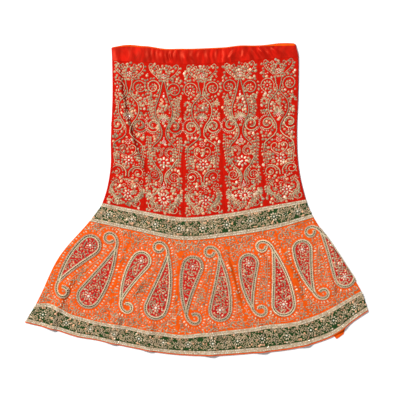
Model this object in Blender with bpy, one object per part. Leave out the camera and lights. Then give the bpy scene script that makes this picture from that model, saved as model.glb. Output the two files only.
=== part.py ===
"""A flared lehenga skirt, laid flat: satin waistband, ten gores in a hip tier and a flared tier,
two green borders edged with lace, an orange hem edge and ten applied paisley patches.

Metres. +Z is up from the surface that the skirt lies on, +Y runs to the waist, and the origin
is the centre of the skirt's box at that surface. Every place on the skirt is given by two
numbers: across, which counts gores from the left side fold at 0 to the right one at 5, and
down, the distance in metres from the waist's edge along the middle of the front.
"""

import bisect
import math
from collections import namedtuple

import bmesh
import bpy
import numpy as np

# Cloth
WALL = 0.0018  # embroidered cloth with its lining
SEAM_GAP = 0.0003
LAYER_GAP = 0.0006  # between the front and the back that it lies on
FACING_WALL = 0.001
PATCH_WALL = 0.001
CUTTER_HEIGHT = 0.05

# Side folds
FOLD_HEIGHT = 0.0066
FOLD_DEPTH = 0.0034
FOLD_REACH = 0.035  # how far in from a fold the front stays raised
FOLD_STEPS = 3

# Front
FRONT_GORES = 5
COLUMNS = 9  # mesh columns across a gore
GORE_PUFF = 0.0011  # the embroidered middle of a gore stands above its seams
REST_HEIGHT = 2 * WALL + LAYER_GAP
WAIST_ROOM = 0.0016  # extra room under the waistband for the facing
WAIST_DEPTH = 0.046

# Gathers along the waistband, strongest in the middle. Pitch, centre and reach are in gores.
GATHER_HEIGHT = 0.0026
GATHER_PITCH = 0.27
GATHER_CENTRE = 2.0
GATHER_REACH = 1.2
GATHER_LEAST = 0.25

# Back
BACK_COLUMNS = 4
FACING_DEPTH = 0.020
FACING_INSET = 0.03  # gores

# The back's waist edge shows above the front's: a little all along, and more in two places.
BACK_RISE = 0.0022
Rise = namedtuple("Rise", "across half_width rise")
RISES = [
    Rise(0.55, 0.60, 0.0020),
    Rise(4.75, 0.75, 0.0075),
]

# Each section across the front gives the two side folds and the four seams between, as x and y.
Section = namedtuple("Section", "name down left seam_1 seam_2 seam_3 seam_4 right")
SECTIONS = [
    Section("waist_top", 0.000, (-0.272, 0.481), (-0.162, 0.484), (-0.046, 0.476),
            (0.078, 0.480), (0.198, 0.487), (0.318, 0.489)),
    Section("waist_seam", 0.046, (-0.270, 0.441), (-0.162, 0.436), (-0.046, 0.430),
            (0.078, 0.434), (0.197, 0.445), (0.326, 0.452)),
    Section("hip_high", 0.166, (-0.269, 0.319), (-0.162, 0.314), (-0.045, 0.309),
            (0.079, 0.313), (0.200, 0.322), (0.325, 0.329)),
    Section("hip_middle", 0.296, (-0.274, 0.194), (-0.162, 0.186), (-0.044, 0.180),
            (0.081, 0.185), (0.204, 0.194), (0.321, 0.202)),
    Section("hip_low", 0.414, (-0.276, 0.089), (-0.164, 0.073), (-0.043, 0.061),
            (0.084, 0.066), (0.213, 0.079), (0.327, 0.097)),
    Section("band_top", 0.536, (-0.301, -0.014), (-0.170, -0.040), (-0.042, -0.060),
            (0.091, -0.048), (0.229, -0.024), (0.350, -0.003)),
    Section("flare_top", 0.608, (-0.342, -0.072), (-0.200, -0.102), (-0.046, -0.132),
            (0.096, -0.121), (0.248, -0.096), (0.374, -0.060)),
    Section("flare_middle", 0.757, (-0.441, -0.189), (-0.251, -0.251), (-0.061, -0.281),
            (0.123, -0.268), (0.304, -0.236), (0.454, -0.179)),
    Section("hem_band_top", 0.906, (-0.512, -0.337), (-0.286, -0.399), (-0.059, -0.430),
            (0.165, -0.414), (0.363, -0.380), (0.526, -0.295)),
    Section("hem", 0.974, (-0.549, -0.395), (-0.299, -0.457), (-0.059, -0.499),
            (0.171, -0.495), (0.386, -0.460), (0.549, -0.359)),
]

# Places where an edge wanders off its section's smooth line: rise is towards the waist.
Ripple = namedtuple("Ripple", "name across half_width down half_length rise")
RIPPLES = [
    Ripple("waist_left_lift", 0.42, 0.50, 0.000, 0.030, 0.004),
    Ripple("waist_dip", 1.50, 0.50, 0.000, 0.030, -0.004),
    Ripple("waist_right_lift", 3.50, 0.45, 0.000, 0.030, 0.003),
    Ripple("hem_left_hump", 0.22, 0.30, 0.906, 0.060, 0.015),
    Ripple("hem_left_step", 0.66, 0.26, 0.974, 0.045, -0.004),
    Ripple("hem_right_dip", 4.35, 0.40, 0.974, 0.060, -0.004),
]

# Soft folds of the front. A fold runs from start through middle to end, with its own half
# width on its left and right sides. An open one runs off the hem at its start.
Fold = namedtuple("Fold", "name start middle end height left right open")
FOLDS = [
    Fold("hip_crease", (-0.246, 0.440), (-0.226, 0.268), (-0.158, 0.085), 0.0085, 0.036, 0.015, False),
    Fold("hip_left_pull", (-0.300, -0.020), (-0.238, 0.012), (-0.140, 0.002), 0.0035, 0.018, 0.024, False),
    Fold("hip_right_pull", (0.345, 0.020), (0.299, 0.042), (0.225, 0.050), 0.0035, 0.022, 0.018, False),
    Fold("hip_soft_wave", (0.030, 0.400), (0.024, 0.220), (0.010, 0.020), 0.0022, 0.030, 0.034, False),
    Fold("hip_side_wave", (0.268, 0.400), (0.272, 0.220), (0.292, 0.060), 0.0028, 0.034, 0.026, False),
    Fold("waist_wrinkle_1", (0.098, 0.442), (0.110, 0.458), (0.128, 0.482), 0.0030, 0.008, 0.012, False),
    Fold("waist_wrinkle_2", (0.146, 0.446), (0.150, 0.462), (0.148, 0.480), 0.0024, 0.008, 0.010, False),
    Fold("waist_wrinkle_3", (0.196, 0.480), (0.216, 0.466), (0.240, 0.456), 0.0030, 0.009, 0.012, False),
    Fold("waist_wrinkle_4", (0.236, 0.484), (0.252, 0.470), (0.268, 0.456), 0.0030, 0.008, 0.010, False),
    Fold("corner_swell", (-0.462, -0.430), (-0.420, -0.299), (-0.360, -0.190), 0.0100, 0.040, 0.026, True),
    Fold("flare_tuck_2", (-0.214, -0.322), (-0.184, -0.283), (-0.154, -0.240), 0.0040, 0.014, 0.022, False),
    Fold("seam_3_swell", (0.152, -0.372), (0.112, -0.244), (0.078, -0.139), 0.0075, 0.036, 0.020, False),
    Fold("curved_crease", (0.234, -0.252), (0.204, -0.178), (0.150, -0.146), 0.0055, 0.024, 0.013, False),
    Fold("curl_crease", (0.250, -0.286), (0.231, -0.258), (0.208, -0.230), 0.0035, 0.014, 0.012, False),
    Fold("seam_4_swell", (0.342, -0.322), (0.302, -0.222), (0.258, -0.148), 0.0070, 0.034, 0.018, False),
    Fold("low_crease", (0.204, -0.394), (0.168, -0.363), (0.130, -0.338), 0.0040, 0.016, 0.014, False),
    Fold("side_crease", (0.438, -0.318), (0.434, -0.268), (0.406, -0.232), 0.0045, 0.014, 0.022, False),
    Fold("hem_wave_1", (-0.267, -0.471), (-0.258, -0.404), (-0.240, -0.331), 0.0060, 0.036, 0.036, True),
    Fold("hem_wave_2", (-0.150, -0.491), (-0.149, -0.420), (-0.142, -0.343), 0.0050, 0.034, 0.034, True),
    Fold("hem_wave_3", (0.050, -0.500), (0.046, -0.427), (0.037, -0.363), 0.0055, 0.038, 0.034, True),
    Fold("hem_wave_4", (0.216, -0.494), (0.200, -0.420), (0.178, -0.350), 0.0060, 0.034, 0.040, True),
    Fold("hem_wave_5", (0.356, -0.475), (0.331, -0.404), (0.300, -0.340), 0.0050, 0.036, 0.032, True),
    Fold("hem_wave_6", (0.470, -0.425), (0.452, -0.378), (0.430, -0.330), 0.0040, 0.030, 0.030, True),
]

# The tiers from the waist down. Gored tiers have a piece for each gore, and the others one
# strip round the front and one across the back. proud is how far a strip's face stands out.
Tier = namedtuple("Tier", "name top bottom rows gored proud material")
TIERS = [
    Tier("waistband", 0.0000, 0.0460, 3, False, 0.0, "red_satin"),
    Tier("hip_panel", 0.0460, 0.5360, 10, True, 0.0, "red_silk"),
    Tier("hip_lace_upper", 0.5360, 0.5490, 1, False, 0.0007, "lace"),
    Tier("hip_band", 0.5490, 0.5950, 1, False, 0.0, "green_silk"),
    Tier("hip_lace_lower", 0.5950, 0.6080, 1, False, 0.0007, "lace"),
    Tier("flare_panel", 0.6080, 0.9060, 10, True, 0.0, "orange_silk"),
    Tier("hem_lace_upper", 0.9060, 0.9180, 1, False, 0.0007, "lace"),
    Tier("hem_band", 0.9180, 0.9595, 2, False, 0.0, "green_silk"),
    Tier("hem_lace_lower", 0.9595, 0.9705, 1, False, 0.0007, "lace"),
    Tier("hem_edge", 0.9705, 0.9740, 1, False, 0.0, "orange_silk"),
]

# A paisley is a stroke of changing width: a round bulb, a body that narrows to a neck, and a
# curled tail. Each gore has a small one with its bulb up and a large one with its bulb down.
Paisley = namedtuple("Paisley", "name bulb_radius body bend curl_wide curl_length")
SMALL = Paisley("small", 0.035, 0.146, 0.40, 0.046, 0.104)
LARGE = Paisley("large", 0.040, 0.174, 0.30, 0.052, 0.122)
TAIL_HALF_WIDTH = 0.0065
CURL_TIGHT = 0.0145  # radius at the tail's tip
BODY_TAPER = 1.5  # above 1 keeps the body broad near its bulb

# The centre of the bulb and the neck, each as across and down.
Patch = namedtuple("Patch", "name kind bulb neck")
PATCHES = [
    Patch("paisley_1a", SMALL, (0.34, 0.687), (0.16, 0.824)),
    Patch("paisley_1b", LARGE, (0.65, 0.837), (0.80, 0.673)),
    Patch("paisley_2a", SMALL, (1.31, 0.693), (1.13, 0.824)),
    Patch("paisley_2b", LARGE, (1.67, 0.830), (1.76, 0.660)),
    Patch("paisley_3a", SMALL, (2.26, 0.692), (2.13, 0.842)),
    Patch("paisley_3b", LARGE, (2.65, 0.839), (2.81, 0.671)),
    Patch("paisley_4a", SMALL, (3.32, 0.702), (3.15, 0.844)),
    Patch("paisley_4b", LARGE, (3.66, 0.848), (3.83, 0.674)),
    Patch("paisley_5a", SMALL, (4.39, 0.697), (4.23, 0.838)),
    Patch("paisley_5b", LARGE, (4.87, 0.836), (4.97, 0.664)),
]

# How far behind each side fold the seam on the underside lies.
LEFT_WRAP = 0.009
RIGHT_WRAPS = [(0.0, 0.010), (0.536, 0.013), (0.608, 0.020), (0.906, 0.052), (0.974, 0.056)]

# The hem's orange edge on the back has one corner pulled out past the front.
FlapPoint = namedtuple("FlapPoint", "across depth")
FLAP = [
    FlapPoint(4.30, 0.0),
    FlapPoint(4.33, 0.014),
    FlapPoint(4.47, 0.014),
    FlapPoint(4.54, 0.0),
]

# Red, green, blue; roughness; metallic
FINISHES = {
    "red_satin": ((0.72, 0.016, 0.006), 0.35, 0.0),
    "red_silk": ((0.62, 0.012, 0.006), 0.55, 0.0),
    "orange_silk": ((0.86, 0.14, 0.016), 0.55, 0.0),
    "green_silk": ((0.020, 0.085, 0.030), 0.60, 0.0),
    "lace": ((0.62, 0.46, 0.28), 0.40, 0.5),
    "patch_red": ((0.50, 0.020, 0.014), 0.65, 0.0),
}


def smooth_curve(at, values, x):
    """A smooth curve through values at the places in at, straight on beyond its ends."""
    at = np.asarray(at, float)
    values = np.asarray(values, float)
    x = np.asarray(x, float)
    slope = np.empty_like(values)
    spans = (len(at) - 2, *[1] * (values.ndim - 1))
    slope[1:-1] = (values[2:] - values[:-2]) / (at[2:] - at[:-2]).reshape(spans)
    slope[0] = (values[1] - values[0]) / (at[1] - at[0])
    slope[-1] = (values[-1] - values[-2]) / (at[-1] - at[-2])
    i = np.clip(np.searchsorted(at, x, side="right") - 1, 0, len(at) - 2)
    wide = (..., *[None] * (values.ndim - 1))
    step = (at[i + 1] - at[i])[wide]
    t = np.clip((x - at[i])[wide] / step, 0, 1)
    beyond = np.minimum(x - at[0], 0)[wide] * slope[0] + np.maximum(x - at[-1], 0)[wide] * slope[-1]
    return (
        (2 * t**3 - 3 * t**2 + 1) * values[i]
        + (t**3 - 2 * t**2 + t) * step * slope[i]
        + (3 * t**2 - 2 * t**3) * values[i + 1]
        + (t**3 - t**2) * step * slope[i + 1]
        + beyond
    )


def bump(x):
    """1 at 0, falling smoothly to 0 at -1 and 1."""
    return np.cos(np.clip(x, -1, 1) * math.pi / 2) ** 2


def ease(x):
    """0 up to 0, 1 from 1, smooth between."""
    x = np.clip(x, 0, 1)
    return x * x * (3 - 2 * x)


SECTION_DOWNS = [s.down for s in SECTIONS]
SECTION_POINTS = np.array([s[2:] for s in SECTIONS], float)


def plan(across, down):
    """Where a place on the front lies, seen from above, as an array of x and y."""
    across, down = np.broadcast_arrays(np.asarray(across, float), np.asarray(down, float))
    shape = across.shape
    across, down = across.ravel(), down.ravel()
    seams = smooth_curve(SECTION_DOWNS, SECTION_POINTS, down)
    row = np.arange(len(across))
    k = np.clip(np.floor(across).astype(int), 0, FRONT_GORES - 1)
    t = (across - k)[:, None]

    def seam(n):
        return seams[row, np.clip(n, 0, FRONT_GORES)]

    first, last = seam(k), seam(k + 1)
    slope_first = np.where((k > 0)[:, None], (last - seam(k - 1)) / 2, last - first)
    inside = (k + 1 < FRONT_GORES)[:, None]
    slope_last = np.where(inside, (seam(k + 2) - first) / 2, last - first)
    point = (
        (2 * t**3 - 3 * t**2 + 1) * first
        + (t**3 - 2 * t**2 + t) * slope_first
        + (3 * t**2 - 2 * t**3) * last
        + (t**3 - t**2) * slope_last
    )
    for r in RIPPLES:
        sideways = bump((across - r.across) / r.half_width)
        point[:, 1] += r.rise * sideways * bump((down - r.down) / r.half_length)
    return point.reshape(*shape, 2)


def gore_width(across, down):
    """Metres for one gore's worth of across, near a place."""
    step = 0.02
    a = np.clip(np.asarray(across, float) - step, 0, FRONT_GORES - 2 * step)
    return np.linalg.norm(plan(a + 2 * step, down) - plan(a, down), axis=-1) / (2 * step)


def fold_height(fold, x, y):
    """How far one soft fold lifts the points x, y."""
    start, middle, end = (np.array(p) for p in (fold.start, fold.middle, fold.end))
    along = end - start
    length = float(np.hypot(*along))
    side = np.array([-along[1], along[0]]) / length
    t = ((x - start[0]) * along[0] + (y - start[1]) * along[1]) / length**2
    clipped = np.clip(t, 0, 1)
    bow = middle - (start + end) / 2
    swing = 4 * clipped * (1 - clipped)
    off = (x - start[0] - clipped * along[0] - swing * bow[0]) * side[0]
    off += (y - start[1] - clipped * along[1] - swing * bow[1]) * side[1]
    across = bump(np.where(off > 0, off / fold.left, off / fold.right))
    lengthwise = ease((1 - t) / 0.45)
    if not fold.open:
        lengthwise = lengthwise * ease(t / 0.35)
    return fold.height * across * lengthwise


def front_height(across, down):
    """Height of the front's outer face."""
    across, down = np.broadcast_arrays(np.asarray(across, float), np.asarray(down, float))
    point = plan(across, down)
    x, y = point[..., 0], point[..., 1]
    height = np.full(across.shape, REST_HEIGHT)
    for edge in (0.0, float(FRONT_GORES)):
        away = np.linalg.norm(point - plan(edge, down), axis=-1)
        height += (FOLD_HEIGHT - REST_HEIGHT) * np.exp(-((away / FOLD_REACH) ** 2))
    height += GORE_PUFF * np.sin(math.pi * across) ** 2 * ease((down - WAIST_DEPTH) / 0.05)
    height += WAIST_ROOM * (1 - ease((down - 0.03) / 0.05))
    amount = GATHER_LEAST + (1 - GATHER_LEAST) * bump((across - GATHER_CENTRE) / GATHER_REACH)
    uneven = 1.3 * np.sin(1.9 * across)
    waves = np.sin(math.pi * across / GATHER_PITCH + uneven) ** 2
    height += GATHER_HEIGHT * amount * waves * bump((down - WAIST_DEPTH / 2) / (WAIST_DEPTH / 2))
    for f in FOLDS:
        height += fold_height(f, x, y)
    return height


def front_point(across, down):
    return np.concatenate([plan(across, down), front_height(across, down)[..., None]], axis=-1)


def front_faces(across, down, proud=0.0):
    """Outer and inner points of the front's wall."""
    outer = front_point(across, down)
    step = 0.004
    sideways = front_point(across + step, down) - front_point(across - step, down)
    lengthwise = front_point(across, down - step / 4) - front_point(across, down + step / 4)
    normal = np.cross(sideways, lengthwise)
    normal /= np.linalg.norm(normal, axis=-1, keepdims=True)
    return outer + normal * proud, outer - normal * WALL


def back_faces(across, down):
    """Outer and inner points of the back's wall, flat on the surface below it."""
    point = plan(across, down)
    outer = np.concatenate([point, np.zeros((*point.shape[:-1], 1))], axis=-1)
    return outer, outer + (0, 0, WALL)


def fold_edge(side, down):
    """Where the round of a side fold starts, in across."""
    edge = 0.0 if side < 0 else float(FRONT_GORES)
    return edge - side * FOLD_DEPTH / gore_width(edge, down)


def round_faces(side, angle, down, proud=0.0):
    """Outer and inner points on the round of a side fold, from +90 degrees on top to -90."""
    edge = fold_edge(side, down)
    base = plan(edge, down)
    outward = plan(0.0 if side < 0 else float(FRONT_GORES), down) - base
    outward /= np.linalg.norm(outward, axis=-1, keepdims=True)
    half = front_height(edge, down) / 2
    c, s = math.cos(math.radians(angle)), math.sin(math.radians(angle))
    lift = proud * (1 + s) / 2
    faces = []
    for inset in (-lift, WALL):
        xy = base + outward * (FOLD_DEPTH - inset) * c
        z = half + (half - inset) * s
        faces.append(np.concatenate([xy, z[..., None]], axis=-1))
    return faces


def back_seam(n, down):
    """Where seam n of the back lies: 0 behind the left fold and 5 behind the right one."""
    left = LEFT_WRAP / gore_width(0.0, down)
    at, wraps = zip(*RIGHT_WRAPS)
    right = FRONT_GORES - smooth_curve(at, wraps, down) / gore_width(float(FRONT_GORES), down)
    return left + (right - left) * n / FRONT_GORES


def back_rise(across):
    """How far the back's waist edge stands above the front's."""
    return BACK_RISE + sum(r.rise * bump((across - r.across) / r.half_width) for r in RISES)


def half_gap(across, down):
    return SEAM_GAP / 2 / gore_width(across, down)


def tier_downs(tier):
    return np.linspace(tier.top + SEAM_GAP / 2, tier.bottom - SEAM_GAP / 2, tier.rows + 1)


def side_columns(side, downs, proud):
    """Columns round a side fold, from the front's edge to the seam on the underside."""
    columns = [
        round_faces(side, 90 - 180 * n / FOLD_STEPS, downs, proud)
        for n in range(1, FOLD_STEPS + 1)
    ]
    seam = back_seam(0 if side < 0 else FRONT_GORES, downs)
    stop = seam + side * half_gap(seam, downs)
    columns.append(back_faces(stop, downs))
    return columns


def edge_column(side, downs, proud):
    """The column where the flat of the front meets a side fold's round."""
    return round_faces(side, 90, downs, proud)


def front_columns(first, last, downs, proud):
    """Columns of the front from seam first to seam last, with the side folds where it has them."""
    columns = []
    for n in range((last - first) * COLUMNS + 1):
        across = first + n / COLUMNS
        if across == 0:
            columns.append(edge_column(-1, downs, proud))
            continue
        if across == FRONT_GORES:
            columns.append(edge_column(1, downs, proud))
            continue
        place = np.full_like(downs, across)
        if across == first:
            place += half_gap(across, downs)
        if across == last:
            place -= half_gap(across, downs)
        columns.append(front_faces(place, downs, proud))
    if first == 0:
        columns = side_columns(-1, downs, proud)[::-1] + columns
    if last == FRONT_GORES:
        columns = columns + side_columns(1, downs, proud)
    return columns


def back_columns(first, last, downs):
    """Columns of the back from seam first to seam last."""
    columns = []
    count = (last - first) * BACK_COLUMNS
    for n in range(count + 1):
        across = back_seam(first + n / BACK_COLUMNS, downs)
        if n == 0:
            across = across + half_gap(across, downs)
        if n == count:
            across = across - half_gap(across, downs)
        columns.append(back_faces(across, downs))
    return columns


def add_object(name, mesh, material):
    for polygon in mesh.polygons:
        polygon.use_smooth = True
    mesh.set_sharp_from_angle(angle=math.radians(50))
    mesh.materials.append(material)
    obj = bpy.data.objects.new(name, mesh)
    bpy.context.scene.collection.objects.link(obj)
    return obj


def wall_mesh(name, columns):
    """A closed wall from columns of outer and inner points, all with the same number of rows."""
    outer = np.stack([c[0] for c in columns], axis=1)
    inner = np.stack([c[1] for c in columns], axis=1)
    rows, count = outer.shape[:2]
    bm = bmesh.new()
    grids = [[[bm.verts.new(p) for p in row] for row in layer] for layer in (outer, inner)]
    for grid in grids:
        for r in range(rows - 1):
            for c in range(count - 1):
                bm.faces.new((grid[r][c], grid[r][c + 1], grid[r + 1][c + 1]))
                bm.faces.new((grid[r][c], grid[r + 1][c + 1], grid[r + 1][c]))
    rims = [[(r, c) for c in range(count)] for r in (0, rows - 1)]
    rims += [[(r, c) for r in range(rows)] for c in (0, count - 1)]
    for rim in rims:
        for (r, c), (s, d) in zip(rim, rim[1:]):
            bm.faces.new((grids[0][r][c], grids[0][s][d], grids[1][s][d], grids[1][r][c]))
    bmesh.ops.recalc_face_normals(bm, faces=bm.faces)
    mesh = bpy.data.meshes.new(name)
    bm.to_mesh(mesh)
    bm.free()
    return mesh


def gored_tier(tier, material):
    """One panel for each gore: 1 to 5 across the front, 6 to 10 back across the underside."""
    downs = tier_downs(tier)
    for gore in range(FRONT_GORES):
        name = f"{tier.name}_{gore + 1:02d}"
        columns = front_columns(gore, gore + 1, downs, tier.proud)
        add_object(name, wall_mesh(name, columns), material)
    for gore in range(FRONT_GORES):
        name = f"{tier.name}_{2 * FRONT_GORES - gore:02d}"
        columns = back_columns(gore, gore + 1, downs)
        add_object(name, wall_mesh(name, columns), material)


def strip_tier(tier, material):
    """A strip that goes round the front and both folds, and one across the back."""
    downs = tier_downs(tier)
    name = f"{tier.name}_front"
    columns = front_columns(0, FRONT_GORES, downs, tier.proud)
    add_object(name, wall_mesh(name, columns), material)
    name = f"{tier.name}_back"
    columns = back_columns(0, FRONT_GORES, downs)
    add_object(name, wall_mesh(name, columns), material)


def raised_waist(columns, places):
    """Moves the top row of each column up by the back's rise at its place, times its share."""
    for (outer, inner), (across, share) in zip(columns, places):
        rise = float(back_rise(across)) * share
        for face in (outer, inner):
            upward = face[0] - face[1]
            face[0] += upward / np.linalg.norm(upward) * rise


def waistband(tier, material):
    """The front goes round the folds and climbs there to the back's higher edge."""
    downs = tier_downs(tier)
    columns = front_columns(0, FRONT_GORES, downs, tier.proud)
    turn = [n / FOLD_STEPS for n in range(1, FOLD_STEPS + 1)] + [1.0]
    flat = [0.0] * (FRONT_GORES * COLUMNS + 1)
    places = [(0.0, share) for share in turn[::-1]]
    places += [(2.5, share) for share in flat]
    places += [(5.0, share) for share in turn]
    raised_waist(columns, places)
    add_object("waistband_front", wall_mesh("waistband_front", columns), material)
    columns = back_columns(0, FRONT_GORES, downs)
    count = len(columns) - 1
    raised_waist(columns, [(FRONT_GORES * n / count, 1.0) for n in range(count + 1)])
    add_object("waistband_back", wall_mesh("waistband_back", columns), material)


def waist_facing(material):
    """The orange lining turned in along the back's waist edge, which shows above the front."""
    count = 2 * BACK_COLUMNS * FRONT_GORES
    downs = np.array([0.0, FACING_DEPTH])
    columns = []
    for n in range(count + 1):
        across = np.full(2, FACING_INSET + (FRONT_GORES - 2 * FACING_INSET) * n / count)
        place = downs - np.array([float(back_rise(across[0])) - SEAM_GAP, 0.0])
        point = plan(across, place)
        low = np.full((2, 1), WALL + SEAM_GAP)
        lower = np.concatenate([point, low], axis=-1)
        columns.append((lower + (0, 0, FACING_WALL), lower))
    add_object("waist_facing", wall_mesh("waist_facing", columns), material)


def hem_edge(tier, material):
    """The orange edge under the lowest lace, with the corner that hangs out at the back."""
    downs = tier_downs(tier)
    columns = front_columns(0, FRONT_GORES, downs, tier.proud)
    add_object("hem_edge_front", wall_mesh("hem_edge_front", columns), material)
    columns = back_columns(0, FRONT_GORES, downs)
    places = [float(back_seam(n / BACK_COLUMNS, downs[-1])) for n in range(len(columns))]
    placed = list(zip(places, columns))
    for point in FLAP:
        i = bisect.bisect(places, point.across)
        t = (point.across - places[i - 1]) / (places[i] - places[i - 1])
        column = [(1 - t) * a + t * b for a, b in zip(columns[i - 1], columns[i])]
        for face in column:
            hanging = face[1] - face[0]
            face[1] += hanging / np.linalg.norm(hanging) * point.depth
        placed.append((point.across, column))
    placed.sort(key=lambda item: item[0])
    columns = [column for across, column in placed]
    add_object("hem_edge_back", wall_mesh("hem_edge_back", columns), material)


def paisley_outline(kind):
    """The outline of a paisley whose bulb is centred at 0, 0 and whose neck is straight up."""
    body_steps, curl_steps, bulb_steps = 5, 8, 7
    axis, half = [], []
    heading = math.pi / 2 - kind.bend / 2
    x, y = 0.0, 0.0
    for n in range(body_steps):
        t = n / body_steps
        axis.append((x, y, heading))
        half.append(TAIL_HALF_WIDTH + (kind.bulb_radius - TAIL_HALF_WIDTH) * (1 - t**BODY_TAPER))
        turn = kind.bend / body_steps
        x += kind.body / body_steps * math.cos(heading + turn / 2)
        y += kind.body / body_steps * math.sin(heading + turn / 2)
        heading += turn
    step = kind.curl_length / curl_steps
    for n in range(curl_steps + 1):
        axis.append((x, y, heading))
        half.append(TAIL_HALF_WIDTH)
        radius = kind.curl_wide + (CURL_TIGHT - kind.curl_wide) * min(1, 2 * n / curl_steps)
        x += step * math.cos(heading + step / radius / 2)
        y += step * math.sin(heading + step / radius / 2)
        heading += step / radius
    half[-1] *= 0.6  # rounds the tip
    left, right = [
        [(x - side * h * math.sin(w), y + side * h * math.cos(w)) for (x, y, w), h in zip(axis, half)]
        for side in (1, -1)
    ]
    first = axis[0][2] + math.pi / 2
    bulb = [first + math.pi * n / bulb_steps for n in range(1, bulb_steps)]
    round_end = [(kind.bulb_radius * math.cos(w), kind.bulb_radius * math.sin(w)) for w in bulb]
    return round_end + right + left[::-1]


def paisley_cutter(patch):
    """An upright prism with a paisley's outline, in its place over the front."""
    bulb = plan(*patch.bulb)
    along = plan(*patch.neck) - bulb
    length = float(np.hypot(*along))
    up = along / length
    sideways = np.array([up[1], -up[0]])
    scale = length / patch.kind.body
    bm = bmesh.new()
    ring = []
    for x, y in paisley_outline(patch.kind):
        place = bulb + scale * (sideways * x + up * y)
        ring.append(bm.verts.new((place[0], place[1], 0.0)))
    lid = bm.faces.new(ring)
    made = bmesh.ops.extrude_face_region(bm, geom=[lid])["geom"]
    raised = [v for v in made if isinstance(v, bmesh.types.BMVert)]
    bmesh.ops.translate(bm, verts=raised, vec=(0, 0, CUTTER_HEIGHT))
    bmesh.ops.recalc_face_normals(bm, faces=bm.faces)
    mesh = bpy.data.meshes.new(f"{patch.name}_outline")
    bm.to_mesh(mesh)
    bm.free()
    cutter = bpy.data.objects.new(f"{patch.name}_outline", mesh)
    cutter.hide_render = True
    cutter.display_type = "WIRE"
    bpy.context.scene.collection.objects.link(cutter)
    return cutter


def patch_sheet(gore, downs):
    """Columns over a front gore, moved out from its panel's own points, and onto the fold."""
    columns = []
    for n in range(COLUMNS + 1):
        across = gore + n / COLUMNS
        pair = []
        for proud in (SEAM_GAP + PATCH_WALL, SEAM_GAP):
            if across == 0:
                pair.append(edge_column(-1, downs, proud)[0])
            elif across == FRONT_GORES:
                pair.append(edge_column(1, downs, proud)[0])
            else:
                pair.append(front_faces(np.full_like(downs, across), downs, proud)[0])
        columns.append(pair)
    if gore == FRONT_GORES - 1:
        angle = 90 - 180 / FOLD_STEPS
        columns.append(
            [round_faces(1, angle, downs, p)[0] for p in (SEAM_GAP + PATCH_WALL, SEAM_GAP)]
        )
    return columns


def paisley_patches(material):
    """Each patch is a thin sheet over its gore, cut to a paisley's outline."""
    tier = next(t for t in TIERS if t.name == "flare_panel")
    downs = tier_downs(tier)
    for patch in PATCHES:
        columns = patch_sheet(int(patch.bulb[0]), downs)
        obj = add_object(patch.name, wall_mesh(patch.name, columns), material)
        cut = obj.modifiers.new("outline", "BOOLEAN")
        cut.operation = "INTERSECT"
        cut.solver = "EXACT"
        cut.object = paisley_cutter(patch)


def make_material(name, colour, roughness, metallic):
    material = bpy.data.materials.new(name)
    material.use_nodes = True
    shader = material.node_tree.nodes["Principled BSDF"]
    shader.inputs["Base Color"].default_value = (*colour, 1.0)
    shader.inputs["Roughness"].default_value = roughness
    shader.inputs["Metallic"].default_value = metallic
    material.diffuse_color = (*colour, 1.0)
    return material


def main():
    for obj in list(bpy.data.objects):
        bpy.data.objects.remove(obj)
    materials = {name: make_material(name, *finish) for name, finish in FINISHES.items()}
    for tier in TIERS:
        material = materials[tier.material]
        if tier.name == "waistband":
            waistband(tier, material)
        elif tier.name == "hem_edge":
            hem_edge(tier, material)
        elif tier.gored:
            gored_tier(tier, material)
        else:
            strip_tier(tier, material)
    waist_facing(materials["orange_silk"])
    paisley_patches(materials["patch_red"])


main()
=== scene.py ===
"""The looks of the flared lehenga skirt: its cloth, gold work, floor, light and camera.

Metres, in the part's frame. A place on the skirt is across, which counts gores from the left
side fold at 0 to the right one at 5, and down, in metres from the waist's edge. Needlework is
drawn flat in millimetres, x to the right and y towards the hem, and then laid on the cloth.
"""

import math
from collections import namedtuple

import bmesh
import bpy
import numpy as np
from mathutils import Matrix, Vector, geometry
from mathutils.bvhtree import BVHTree


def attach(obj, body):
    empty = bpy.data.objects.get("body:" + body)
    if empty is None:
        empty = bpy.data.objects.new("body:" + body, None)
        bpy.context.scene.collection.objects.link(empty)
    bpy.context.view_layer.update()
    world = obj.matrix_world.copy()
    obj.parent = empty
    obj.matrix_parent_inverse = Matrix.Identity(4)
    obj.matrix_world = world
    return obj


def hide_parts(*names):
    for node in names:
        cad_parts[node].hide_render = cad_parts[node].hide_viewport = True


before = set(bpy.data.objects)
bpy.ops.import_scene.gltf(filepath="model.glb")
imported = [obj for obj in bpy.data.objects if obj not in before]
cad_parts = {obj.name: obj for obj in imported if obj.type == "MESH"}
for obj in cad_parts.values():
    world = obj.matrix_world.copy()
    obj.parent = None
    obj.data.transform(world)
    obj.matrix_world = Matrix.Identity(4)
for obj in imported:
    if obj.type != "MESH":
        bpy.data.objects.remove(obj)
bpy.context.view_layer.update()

bl_info = {
    "name": "Lehenga Skirt",
    "version": (1, 0, 0),
    "blender": (4, 5, 0),
    "location": "3D View > Sidebar > Lehenga",
    "description": "Cloth and gold work of a flared skirt that lies flat",
    "category": "Object",
}

MM = 0.001

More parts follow.
